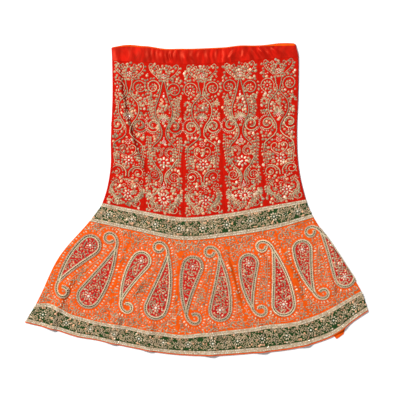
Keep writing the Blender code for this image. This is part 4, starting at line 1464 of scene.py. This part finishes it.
def flare_work(gore):
    """Bead rows round the paisleys, and fine wavy stitches over the ground of one flare gore."""
    work = Needlework(seed=70 + gore)
    nearby = [p for p in PATCHES if abs(p.bulb[0] - gore - 0.5) < 1.2]
    outlines = [in_gore(gore, paisley_frame(p)(paisley_outline(p.kind))) for p in nearby]
    edge = np.concatenate(outlines)
    wide = gore_width(gore + 0.5, np.array([0.608, 0.906])) / MM / 2

    def room(y):
        return np.interp(y, (608, 906), wide) - 4

    for patch in nearby:
        if int(patch.bulb[0]) != gore:
            continue
        frame_of = paisley_frame(patch)
        ring = path_through(in_gore(gore, frame_of(paisley_outline(patch.kind, -0.0082))), 9.4)
        clear = near_outline(edge, ring) > 5.6
        for (x, y), way, good in zip(ring, headings(ring), clear):
            if good and abs(x) < room(y) + 2:
                grown = work.random.uniform(0.78, 1.18)
                sway = work.random.uniform(-1.3, 1.3, 2)
                form = LIGHT_PETAL if work.random.random() < 0.6 else COPPER_PETAL
                work.bit(x + sway[0], y + sway[1], way + 74, 9.0 * grown, 6.0 * grown, 2.0, form)
        echo = path_through(in_gore(gore, frame_of(paisley_outline(patch.kind, -0.0142))), 4.5)
        clear = (near_outline(edge, echo) > 11.5) & (np.abs(echo[:, 0]) < room(echo[:, 1]) - 3)
        run = []
        for point, good in zip(echo, clear):
            if good:
                run.append(point)
                continue
            if len(run) > 4:
                work.cord(np.array(run), 1.8, FINE_CORD)
            run = []
        if len(run) > 4:
            work.cord(np.array(run), 1.8, FINE_CORD)

    def inside(x, y):
        points = np.stack([x, y], axis=1)
        ragged = 2.6 * np.sin(y / 9 + gore) + 2.4 * np.sin(y / 4.1 + 2 * gore)
        free = (np.abs(x) < room(y) + ragged) & (y > 612) & (y < 902)
        for outline in outlines:
            free &= ~inside_outline(outline, points)
        return free & (near_outline(edge, points) > 8.8)

    def stitch(work, x, y, way):
        luck = work.random.random()
        if luck < 0.40:
            length = work.random.uniform(7.0, 9.6)
            turn = way + work.random.uniform(-35, 35)
            work.bit(x, y, turn, length, 0.62 * length, 1.9, work.any_petal())
            return 2.8
        if luck < 0.58:
            return seed_stitch(work, x, y, way)
        return crinkled_stitch(work, x, y, way)

    work.fill((-118, 608), (118, 906), inside, 5.2, 2.0, None, 1.0, stitch)
    return work


# Borders


def band_plan(middle_down):
    """Lays millimetres along a border from its left end, and down from the waist, on the plan."""
    across = np.linspace(0, FRONT_GORES, 501)
    line = plan(across, middle_down)
    length = np.concatenate([[0], np.cumsum(np.linalg.norm(np.diff(line, axis=0), axis=1))]) / MM

    def to_plan(points):
        points = np.asarray(points, float)
        return plan(np.interp(points[:, 0], length, across), points[:, 1] * MM)

    return to_plan, float(length[-1])


def border_work(tier, seed):
    """Stone rosettes between leafy scrolls along a green border."""
    work = Needlework(seed=seed)
    to_plan, length = band_plan((tier.top + tier.bottom) / 2)
    top, bottom = tier.top / MM, tier.bottom / MM
    middle, half = (top + bottom) / 2, (bottom - top) / 2
    pitch = 80.0
    count = max(1, round(length / pitch))
    pitch = length / count
    for n in range(count):
        x = (n + 0.5) * pitch
        work.flower(x, middle, half * 0.62, 9, LIGHT_PETAL, heart=0.56)
        other = x - pitch / 2
        work.flower(other, middle + 1, half * 0.44, 6, LIGHT_PETAL, heart=0.3)
        for side in (-1, 1):
            for upright in (-1, 1):
                line = [
                    (x + side * half * 0.72, middle + upright * half * 0.30),
                    (x + side * half * 1.05, middle + upright * half * 0.72),
                    (x + side * half * 1.40, middle + upright * half * 0.52),
                    (x + side * half * 1.32, middle + upright * half * 0.16),
                ]
                path = path_through(line)
                work.cord(path, 2.2)
                work.leaves(path, pitch=7.4, size=(7.6, 5.0), off=4.4)
    low, high = (0, top), (length, bottom)

    bare = []
    for n in range(count * 5):
        aside = work.random.choice([-1, 1]) * work.random.uniform(0.15, 0.90) * half
        bare.append((work.random.uniform(0, length), middle + aside, work.random.uniform(3.4, 6.4)))

    def inside(x, y):
        worked = (x > 2) & (x < length - 2) & (np.abs(y - middle) < half - 1.6)
        for bare_x, bare_y, reach in bare:
            worked &= np.hypot((x - bare_x) / 1.5, y - bare_y) > reach
        return worked

    def stitch(work, x, y, way):
        return seed_stitch(work, x, y, way, 8.8, 0.70)

    work.fill(low, high, inside, 5.6, 2.0, None, 1.0, stitch)
    work.fill(low, high, inside, 5.0, 0.4, None, 0.52, crinkled_stitch)
    return work, to_plan


def lace_work(tier, seed):
    """Two rows of small ovals and a scalloped cord along a lace."""
    work = Needlework(seed=seed)
    to_plan, length = band_plan((tier.top + tier.bottom) / 2)
    top, bottom = tier.top / MM, tier.bottom / MM
    depth = bottom - top
    x = np.arange(2.5, length - 3.5, 5.8)
    for at in x:
        sway = work.random.uniform(-0.5, 0.5)
        for step, share, turn in ((0.0, 0.25, 60), (2.9, 0.75, -60)):
            form = LIGHT_PETAL if work.random.random() < 0.6 else STONE
            work.bit(at + step, top + depth * share + sway, turn, 5.6, 4.0, 1.7, form)
    wave = np.arange(2, length - 2, 2.6)
    for share, swing in ((0.5, 1.3), (0.06, 0.3), (0.94, 0.3)):
        y = top + share * depth + swing * np.sin(wave * 2 * math.pi / 10.4)
        work.cord(np.stack([wave, y], axis=1), 1.8, FINE_CORD)
    return work, to_plan


# Finishes


class Finish:
    """A procedural material under construction."""

    def __init__(self, name, colour, roughness, metallic=0.0, coat=0.0, gloss=0.5, tint=(1, 1, 1)):
        self.material = bpy.data.materials.new(name)
        self.material.use_nodes = True
        self.material.diffuse_color = (*colour, 1.0)
        self.nodes = self.material.node_tree.nodes
        self.shader = self.nodes["Principled BSDF"]
        self.shader.inputs["Base Color"].default_value = (*colour, 1.0)
        self.shader.inputs["Roughness"].default_value = roughness
        self.shader.inputs["Metallic"].default_value = metallic
        self.shader.inputs["Coat Weight"].default_value = coat
        self.shader.inputs["Specular Tint"].default_value = (*tint, 1.0)
        self.shader.inputs["Specular IOR Level"].default_value = gloss

    def join(self, output, place):
        self.material.node_tree.links.new(output, place)

    def node(self, kind, **settings):
        made = self.nodes.new(kind)
        for name, value in settings.items():
            setattr(made, name, value)
        return made

    def cloth_place(self, stretch=(1, 1, 1)):
        """The place on the flat cloth, in metres."""
        uv = self.node("ShaderNodeUVMap", uv_map="cloth")
        mapping = self.node("ShaderNodeMapping")
        mapping.inputs["Scale"].default_value = stretch
        self.join(uv.outputs["UV"], mapping.inputs["Vector"])
        return mapping.outputs["Vector"]

    def object_place(self):
        return self.node("ShaderNodeTexCoord").outputs["Object"]

    def noise(self, place, scale, detail=3.0, roughness=0.55, distortion=0.0):
        texture = self.node("ShaderNodeTexNoise")
        texture.inputs["Scale"].default_value = scale
        texture.inputs["Detail"].default_value = detail
        texture.inputs["Roughness"].default_value = roughness
        texture.inputs["Distortion"].default_value = distortion
        self.join(place, texture.inputs["Vector"])
        return texture.outputs["Fac"]

    def wave(self, place, scale, direction, distortion=0.0):
        texture = self.node("ShaderNodeTexWave", wave_type="BANDS", bands_direction=direction)
        texture.inputs["Scale"].default_value = scale
        texture.inputs["Distortion"].default_value = distortion
        self.join(place, texture.inputs["Vector"])
        return texture.outputs["Fac"]

    def math(self, operation, first, second):
        made = self.node("ShaderNodeMath", operation=operation)
        for n, value in enumerate((first, second)):
            if isinstance(value, (int, float)):
                made.inputs[n].default_value = value
            else:
                self.join(value, made.inputs[n])
        return made.outputs[0]

    def ramp(self, factor, stops):
        """Colours between stops of place and colour."""
        made = self.node("ShaderNodeValToRGB")
        points = made.color_ramp.elements
        while len(points) < len(stops):
            points.new(0.5)
        for point, (at, colour) in zip(points, stops):
            point.position = at
            point.color = (*colour, 1.0)
        self.join(factor, made.inputs["Fac"])
        return made.outputs["Color"]

    def paint(self, factor, stops):
        """The colour of the finish, from a ramp."""
        self.join(self.ramp(factor, stops), self.shader.inputs["Base Color"])

    def spread(self, factor, low, high):
        made = self.node("ShaderNodeMapRange")
        made.inputs["To Min"].default_value = low
        made.inputs["To Max"].default_value = high
        self.join(factor, made.inputs["Value"])
        return made.outputs["Result"]

    def bumps(self, height, strength, distance):
        made = self.node("ShaderNodeBump")
        made.inputs["Strength"].default_value = strength
        made.inputs["Distance"].default_value = distance
        self.join(height, made.inputs["Height"])
        self.join(made.outputs["Normal"], self.shader.inputs["Normal"])

    def weave(self, place, threads):
        """Warp and weft of so many threads to a metre."""
        warp = self.wave(place, threads / 6.283, "X", 0.2)
        weft = self.wave(place, threads / 6.283, "Y", 0.2)
        return self.math("ADD", self.math("MULTIPLY", warp, 0.5), self.math("MULTIPLY", weft, 0.5))


def shades(colour, *factors):
    """A colour made lighter and darker."""
    return [tuple(min(1.0, c * f) for c in colour) for f in factors]


def silk(name, colour):
    """Raw silk: uneven threads, slow changes of colour."""
    finish = Finish(name, colour, 0.6, gloss=0.03, tint=colour)
    place = finish.cloth_place()
    dark, plain, light = shades(colour, 0.80, 1.0, 1.18)
    patches = finish.noise(place, 38.0, 4.0)
    finish.paint(patches, [(0.30, dark), (0.52, plain), (0.74, light)])
    finish.join(finish.spread(patches, 0.62, 0.42), finish.shader.inputs["Roughness"])
    long_threads = finish.noise(finish.cloth_place((300, 1400, 1)), 1.0, 2.0)
    finish.bumps(finish.math("ADD", finish.weave(place, 1400), long_threads), 0.25, 0.0002)
    return finish.material


def red_silk():
    return silk("red_silk_cloth", tuple(bpy.context.scene.lehenga_cloth.red))


def orange_silk():
    return silk("orange_silk_cloth", tuple(bpy.context.scene.lehenga_cloth.orange))


def green_silk():
    return silk("green_silk_cloth", tuple(bpy.context.scene.lehenga_cloth.green))


def patch_red():
    return silk("patch_red_cloth", tuple(bpy.context.scene.lehenga_cloth.patch))


def red_satin():
    """Satin: close long floats across the band, with soft stripes along its gathers painted lighter and darker
    as painted highlight and shade; the same stripes also set its roughness and bumps.
    """
    colour = tuple(bpy.context.scene.lehenga_cloth.satin)
    finish = Finish("red_satin_cloth", colour, 0.34, gloss=0.40, tint=(1.0, 0.16, 0.07))
    place = finish.cloth_place()
    # Painted highlight and shade: the satin is lightened and darkened in soft stripes along its gathers.
    dark, plain, light = shades(colour, 0.72, 1.0, 1.45)
    gather_streaks_and_painted_sheen = finish.noise(finish.cloth_place((46, 14, 1)), 1.0, 3.0, distortion=0.6)
    finish.paint(gather_streaks_and_painted_sheen, [(0.32, dark), (0.5, plain), (0.68, light)])
    finish.join(finish.spread(gather_streaks_and_painted_sheen, 0.42, 0.28), finish.shader.inputs["Roughness"])
    finish.bumps(finish.math("ADD", finish.wave(place, 260, "Y"), gather_streaks_and_painted_sheen), 0.2, 0.0002)
    return finish.material


def lace():
    """Metal lace: pale gold thread with small gaps and knots."""
    colour = tuple(bpy.context.scene.lehenga_gold.lace)
    finish = Finish("lace_cloth", colour, 0.42, metallic=0.35)
    place = finish.cloth_place()
    dark, plain, light = shades(colour, 0.62, 1.0, 1.22)
    knots = finish.noise(place, 240.0, 3.0, 0.7)
    finish.paint(knots, [(0.34, dark), (0.5, plain), (0.66, light)])
    mesh_holes = finish.node("ShaderNodeTexVoronoi")
    mesh_holes.inputs["Scale"].default_value = 420
    finish.join(place, mesh_holes.inputs["Vector"])
    finish.bumps(finish.math("ADD", mesh_holes.outputs["Distance"], knots), 0.6, 0.0006)
    return finish.material


def thread(name, colour, roughness, metallic, twist=True):
    """Wound thread, lighter and darker from stitch to stitch, with painted shade at the foot of each petal,
    stone and bead.
    """
    finish = Finish(name, colour, roughness, metallic=metallic)
    # The deep stop is mostly reached where painted shade darkens the feet of the bits.
    deep, dark, plain, light = shades(colour, 0.22, 0.62, 1.0, 1.28)
    shade = finish.node("ShaderNodeAttribute", attribute_name="shade").outputs["Fac"]
    speckle = finish.noise(finish.object_place(), 210.0, 2.0)
    mixed = finish.math("ADD", finish.math("MULTIPLY", shade, 0.55), finish.math("MULTIPLY", speckle, 0.45))
    # Painted shade: the foot of each petal, stone and bead is darkened towards the deep stop, as if shadowed
    # where it meets the cloth.
    foot = finish.node("ShaderNodeAttribute", attribute_name="foot").outputs["Fac"]
    mixed = finish.math("SUBTRACT", mixed, finish.math("MULTIPLY", finish.math("POWER", foot, 3.0), 0.5))
    stops = [(0.0, deep), (0.24, dark), (0.5, plain), (0.78, light)]
    finish.paint(mixed, stops)
    if twist:
        reach = finish.node("ShaderNodeAttribute", attribute_name="reach").outputs["Fac"]
        turns = finish.math("SINE", finish.math("MULTIPLY", reach, 5200.0), 0.0)
        finish.bumps(turns, 0.5, 0.0004)
    else:
        finish.bumps(finish.wave(finish.object_place(), 220, "DIAGONAL", 2.0), 0.45, 0.0004)
    return finish.material


def zari_cord():
    return thread("zari_cord", tuple(bpy.context.scene.lehenga_gold.cord), 0.40, 0.45)


def fine_thread():
    return thread("fine_thread", tuple(bpy.context.scene.lehenga_gold.fine), 0.5, 0.25)


def pale_cord():
    return thread("pale_cord", tuple(bpy.context.scene.lehenga_gold.pale), 0.42, 0.3)


def dark_thread():
    return thread("dark_thread", (0.055, 0.075, 0.035), 0.6, 0.0)


def gold_petal():
    return thread("gold_petal", tuple(bpy.context.scene.lehenga_gold.petal), 0.50, 0.26, twist=False)


def copper_petal():
    return thread("copper_petal", tuple(bpy.context.scene.lehenga_gold.copper), 0.50, 0.26, twist=False)


def light_petal():
    return thread("light_petal", tuple(bpy.context.scene.lehenga_gold.light), 0.46, 0.26, twist=False)


def gold_bead():
    return thread("gold_bead", tuple(bpy.context.scene.lehenga_gold.light), 0.3, 0.4, twist=False)


def cream_stone():
    """Foil-backed stones and sequins."""
    colour = (0.86, 0.80, 0.66)
    finish = Finish("cream_stone", colour, 0.16, metallic=0.2, coat=0.4)
    shade = finish.node("ShaderNodeAttribute", attribute_name="shade").outputs["Fac"]
    dark, light = shades(colour, 0.78, 1.12)
    finish.paint(shade, [(0.0, dark), (1.0, light)])
    finish.bumps(finish.noise(finish.object_place(), 500.0, 1.0), 0.15, 0.0003)
    return finish.material


def pale_floor():
    finish = Finish("pale_floor", (0.92, 0.92, 0.92), 0.7)
    grain = finish.noise(finish.object_place(), 6.0)
    finish.paint(grain, [(0.0, (0.91, 0.91, 0.91)), (1.0, (0.93, 0.93, 0.93))])
    return finish.material


MADE = {}


def once(make):
    """The material that a finish makes, made the first time it is asked for."""

    def get():
        if make.__name__ not in MADE:
            MADE[make.__name__] = make()
        return MADE[make.__name__]

    return get


FINISHES = {
    make.__name__: once(make)
    for make in (
        red_satin, red_silk, orange_silk, green_silk, patch_red, lace, zari_cord, fine_thread,
        pale_cord, dark_thread, gold_petal, copper_petal, light_petal, gold_bead, cream_stone, pale_floor,
    )
}


# The add-on


class LehengaCloth(bpy.types.PropertyGroup):
    """Sizes and colours of the cloth."""

    crinkle: bpy.props.FloatProperty(
        name="Crinkle", description="Height of the cloth's small unevenness", default=0.00045,
        min=0.0, max=0.002, unit="LENGTH", precision=5,
    )
    red: bpy.props.FloatVectorProperty(
        name="Hip red", description="Colour of the hip gores", default=(0.47, 0.008, 0.003), subtype="COLOR",
    )
    satin: bpy.props.FloatVectorProperty(
        name="Satin red", description="Colour of the waistband", default=(0.43, 0.007, 0.003), subtype="COLOR",
    )
    orange: bpy.props.FloatVectorProperty(
        name="Flare orange", description="Colour of the flare", default=(0.75, 0.090, 0.006), subtype="COLOR",
    )
    green: bpy.props.FloatVectorProperty(
        name="Border green", description="Colour of the borders", default=(0.018, 0.052, 0.014), subtype="COLOR",
    )
    patch: bpy.props.FloatVectorProperty(
        name="Paisley red", description="Colour of the paisleys", default=(0.47, 0.014, 0.010), subtype="COLOR",
    )


class LehengaGold(bpy.types.PropertyGroup):
    """Sizes and colours of the gold work."""

    fullness: bpy.props.FloatProperty(
        name="Fullness", description="Thickness of every cord and petal, next to its drawn one",
        default=1.0, min=0.5, max=1.5, subtype="FACTOR",
    )
    cord: bpy.props.FloatVectorProperty(
        name="Cord", description="Colour of the twisted cords", default=(0.58, 0.45, 0.27), subtype="COLOR",
    )
    fine: bpy.props.FloatVectorProperty(
        name="Fine thread", description="Colour of the fine wavy stitches", default=(0.50, 0.37, 0.23),
        subtype="COLOR",
    )
    pale: bpy.props.FloatVectorProperty(
        name="Pale cord", description="Colour of the cords round the paisleys", default=(0.80, 0.67, 0.43),
        subtype="COLOR",
    )
    petal: bpy.props.FloatVectorProperty(
        name="Petal", description="Colour of the petals", default=(0.50, 0.36, 0.21), subtype="COLOR",
    )
    copper: bpy.props.FloatVectorProperty(
        name="Copper petal", description="Colour of the rosy petals", default=(0.66, 0.36, 0.20),
        subtype="COLOR",
    )
    light: bpy.props.FloatVectorProperty(
        name="Light petal", description="Colour of the pale petals and beads", default=(0.72, 0.56, 0.39),
        subtype="COLOR",
    )
    lace: bpy.props.FloatVectorProperty(
        name="Lace", description="Colour of the lace", default=(0.62, 0.47, 0.31), subtype="COLOR",
    )


def back_name(tier, gore):
    return f"{tier.name}_{2 * FRONT_GORES - gore:02d}"


class LEHENGA_OT_waist(bpy.types.Operator):
    """Make the satin waistband and its facing"""

    bl_idname = "lehenga.waist"
    bl_label = "Waistband"

    def execute(self, context):
        tier = TIERS["waistband"]
        downs = tier_downs(tier)
        columns = front_columns(0, FRONT_GORES, tier, tier.proud)
        turn = [n / ROUND_STEPS for n in range(1, ROUND_STEPS + 1)] + [1.0]
        places = [(0.0, share) for share in turn[::-1]]
        places += [(2.5, 0.0)] * (FRONT_GORES * tier.columns + 1)
        places += [(5.0, share) for share in turn]
        raised_waist(columns, places)
        sew("waistband_front", columns, downs, tier)
        columns = back_columns(0, FRONT_GORES, tier)
        count = len(columns) - 1
        raised_waist(columns, [(FRONT_GORES * n / count, 1.0) for n in range(count + 1)])
        sew("waistband_back", columns, downs, tier)
        self.facing()
        return {"FINISHED"}

    def facing(self):
        count = 90
        shares = np.linspace(0, 1, 7)
        columns = []
        for n in range(count + 1):
            across = FACING_INSET + (FRONT_GORES - 2 * FACING_INSET) * n / count
            top = -FACING_SHOWS - float(back_rise(across))
            point = plan(np.full(7, across), top + (FACING_DEPTH - top) * shares)
            low = WALL + SEAM_GAP + 0.00008 * (1 + np.sin(41 * across + 3 * shares))
            lower = np.concatenate([point, low[:, None]], axis=-1)
            columns.append((lower + (0, 0, FACING_WALL), lower))
        tier = TIERS["hem_edge"]
        sew("waist_facing", columns, FACING_DEPTH * shares, tier)


class LEHENGA_OT_hip(bpy.types.Operator):
    """Make the ten hip gores with their gold work"""

    bl_idname = "lehenga.hip"
    bl_label = "Hip gores"

    def execute(self, context):
        tier = TIERS["hip_panel"]
        downs = tier_downs(tier)
        for gore in range(FRONT_GORES):
            name = back_name(tier, gore)
            laid = laid_points(hip_work(gore, under=True), back_plan(gore), "back", 0.0, 0.22)
            gold = embroider(f"hip_gold_{name[-2:]}", laid, 4)
            sew(name, back_columns(gore, gore + 1, tier), downs, tier)
        for gore in range(FRONT_GORES):
            name = f"{tier.name}_{gore + 1:02d}"
            laid = laid_points(hip_work(gore), gore_plan(gore), "front", margin=0.008)
            gold = embroider(f"hip_gold_{gore + 1:02d}", laid)
            sew(name, front_columns(gore, gore + 1, tier, tier.proud), downs, tier)
        return {"FINISHED"}


class LEHENGA_OT_flare(bpy.types.Operator):
    """Make the ten flare gores with their fine stitches"""

    bl_idname = "lehenga.flare"
    bl_label = "Flare gores"

    def execute(self, context):
        tier = TIERS["flare_panel"]
        downs = tier_downs(tier)
        for gore in range(FRONT_GORES):
            name = back_name(tier, gore)
            sew(name, back_columns(gore, gore + 1, tier), downs, tier)
        for gore in range(FRONT_GORES):
            name = f"{tier.name}_{gore + 1:02d}"
            laid = laid_points(flare_work(gore), gore_plan(gore), "front", margin=0.005)
            gold = embroider(f"flare_gold_{gore + 1:02d}", laid)
            sew(name, front_columns(gore, gore + 1, tier, tier.proud), downs, tier)
        return {"FINISHED"}


class LEHENGA_OT_borders(bpy.types.Operator):
    """Make the green borders, their lace and the orange hem edge"""

    bl_idname = "lehenga.borders"
    bl_label = "Borders and lace"

    def execute(self, context):
        for number, tier in enumerate(TIERS.values()):
            if tier.gored or tier.name == "waistband":
                continue
            downs = tier_downs(tier)
            columns = back_columns(0, FRONT_GORES, tier)
            if tier.name == "hem_edge":
                columns = self.with_flap(columns, downs)
            sew(f"{tier.name}_back", columns, downs, tier)
            with_pieces = []
            if tier.finish == "green_silk":
                work, to_plan = border_work(tier, 20 + number)
                with_pieces = [embroider(f"{tier.name}_gold", laid_points(work, to_plan, "front"))]
            if tier.finish == "lace":
                work, to_plan = lace_work(tier, 20 + number)
                laid = laid_points(work, to_plan, "front", tier.proud)
                with_pieces = [embroider(f"{tier.name}_gold", laid, 4)]
            columns = front_columns(0, FRONT_GORES, tier, tier.proud)
            sew(f"{tier.name}_front", columns, downs, tier)
        return {"FINISHED"}

    def with_flap(self, columns, downs):
        """The corner of the hem's edge that hangs out at the back."""
        places = [float(back_seam(n / BACK_COLUMNS, downs[-1])) for n in range(len(columns))]
        placed = list(zip(places, columns))
        for across, depth in FLAP:
            i = int(np.searchsorted(places, across))
            t = (across - places[i - 1]) / (places[i] - places[i - 1])
            placed.append((across, [(1 - t) * a + t * b for a, b in zip(columns[i - 1], columns[i])]))
        placed.sort(key=lambda item: item[0])
        at, depths = zip(*FLAP)
        for across, column in placed:
            depth = np.interp(across, at, depths)
            for face in column:
                hanging = face[-1] - face[0]
                face[1:] += hanging / np.linalg.norm(hanging) * depth * np.array([[0.5], [1.0]])
        return [column for across, column in placed]


class LEHENGA_OT_paisleys(bpy.types.Operator):
    """Make the ten paisley patches with their trim"""

    bl_idname = "lehenga.paisleys"
    bl_label = "Paisleys"

    def execute(self, context):
        lift = SEAM_GAP + PATCH_WALL
        for patch in PATCHES:
            mesh, flat, area, whole = paisley_cloth(patch)
            if not whole:
                raise RuntimeError(f"{patch.name} reaches past the skirt")
            obj = new_object(f"{patch.name}_cloth", mesh, FINISHES["patch_red"]())
            mesh.materials.append(FINISHES["orange_silk"]())
            bulb = plan(*patch.bulb)
            along = plan(*patch.neck) - bulb
            for face in mesh.polygons:
                reach = np.array(face.center[:2]) - bulb
                face.material_index = int(reach @ along > along @ along)
            dress(obj, "patch_red", patch.name)
            frame_of = paisley_frame(patch)
            laid = laid_points(paisley_work(patch), lambda p: frame_of(p * MM), "front", lift, 1.0, 0.02)
            gold = embroider(f"{patch.name}_gold", laid)
            lay_sheet(obj, flat, area)
        return {"FINISHED"}


class LEHENGA_OT_stage(bpy.types.Operator):
    """Set the floor, the lights and the camera"""

    bl_idname = "lehenga.stage"
    bl_label = "Stage"

    def execute(self, context):
        scene = context.scene
        bm = bmesh.new()
        bmesh.ops.create_cube(bm, size=1.0)
        for vert in bm.verts:
            vert.co = (vert.co.x * 12, vert.co.y * 12, (vert.co.z - 0.5) * 0.05 - 0.0002)
        mesh = bpy.data.meshes.new("floor")
        bm.to_mesh(mesh)
        bm.free()
        floor = bpy.data.objects.new("floor", mesh)
        scene.collection.objects.link(floor)
        mesh.materials.append(FINISHES["pale_floor"]())
        self.light("key_light", (-2.6, 2.4, 4.6), 1.4, 430)
        self.light("fill_light", (1.6, -0.6, 2.6), 2.4, 10)
        world = bpy.data.worlds.new("studio")
        world.use_nodes = True
        sky = world.node_tree.nodes["Background"]
        sky.inputs["Color"].default_value = (1.0, 1.0, 1.0, 1.0)
        sky.inputs["Strength"].default_value = 0.26
        scene.world = world
        scene.view_settings.view_transform = "Standard"
        data = bpy.data.cameras.new("camera")
        data.lens = LENS
        data.sensor_width = SENSOR
        data.clip_end = 50
        camera = bpy.data.objects.new("camera", data)
        camera.location = CAMERA_PLACE
        scene.collection.objects.link(camera)
        scene.camera = camera
        return {"FINISHED"}

    def light(self, name, place, size, power):
        data = bpy.data.lights.new(name, "AREA")
        data.shape = "DISK"
        data.size = size
        data.energy = power
        lamp = bpy.data.objects.new(name, data)
        lamp.location = place
        lamp.rotation_euler = (-Vector(place)).to_track_quat("-Z", "Y").to_euler()
        bpy.context.scene.collection.objects.link(lamp)


STEPS = (
    LEHENGA_OT_waist,
    LEHENGA_OT_hip,
    LEHENGA_OT_flare,
    LEHENGA_OT_borders,
    LEHENGA_OT_paisleys,
    LEHENGA_OT_stage,
)


class LEHENGA_PT_panel(bpy.types.Panel):
    """The skirt's sizes, colours and steps"""

    bl_idname = "LEHENGA_PT_panel"
    bl_label = "Lehenga skirt"
    bl_space_type = "VIEW_3D"
    bl_region_type = "UI"
    bl_category = "Lehenga"

    def draw(self, context):
        for group in (context.scene.lehenga_cloth, context.scene.lehenga_gold):
            for name in group.__annotations__:
                self.layout.prop(group, name)
        for step in STEPS:
            self.layout.operator(step.bl_idname)


CLASSES = (LehengaCloth, LehengaGold, *STEPS, LEHENGA_PT_panel)


def register():
    for cls in CLASSES:
        bpy.utils.register_class(cls)
    bpy.types.Scene.lehenga_cloth = bpy.props.PointerProperty(type=LehengaCloth)
    bpy.types.Scene.lehenga_gold = bpy.props.PointerProperty(type=LehengaGold)


def unregister():
    del bpy.types.Scene.lehenga_gold
    del bpy.types.Scene.lehenga_cloth
    for cls in reversed(CLASSES):
        bpy.utils.unregister_class(cls)


def main():
    register()
    bpy.ops.lehenga.stage()
    bpy.ops.lehenga.waist()
    bpy.ops.lehenga.hip()
    bpy.ops.lehenga.flare()
    bpy.ops.lehenga.borders()
    bpy.ops.lehenga.paisleys()


if __name__ == "__main__":
    main()
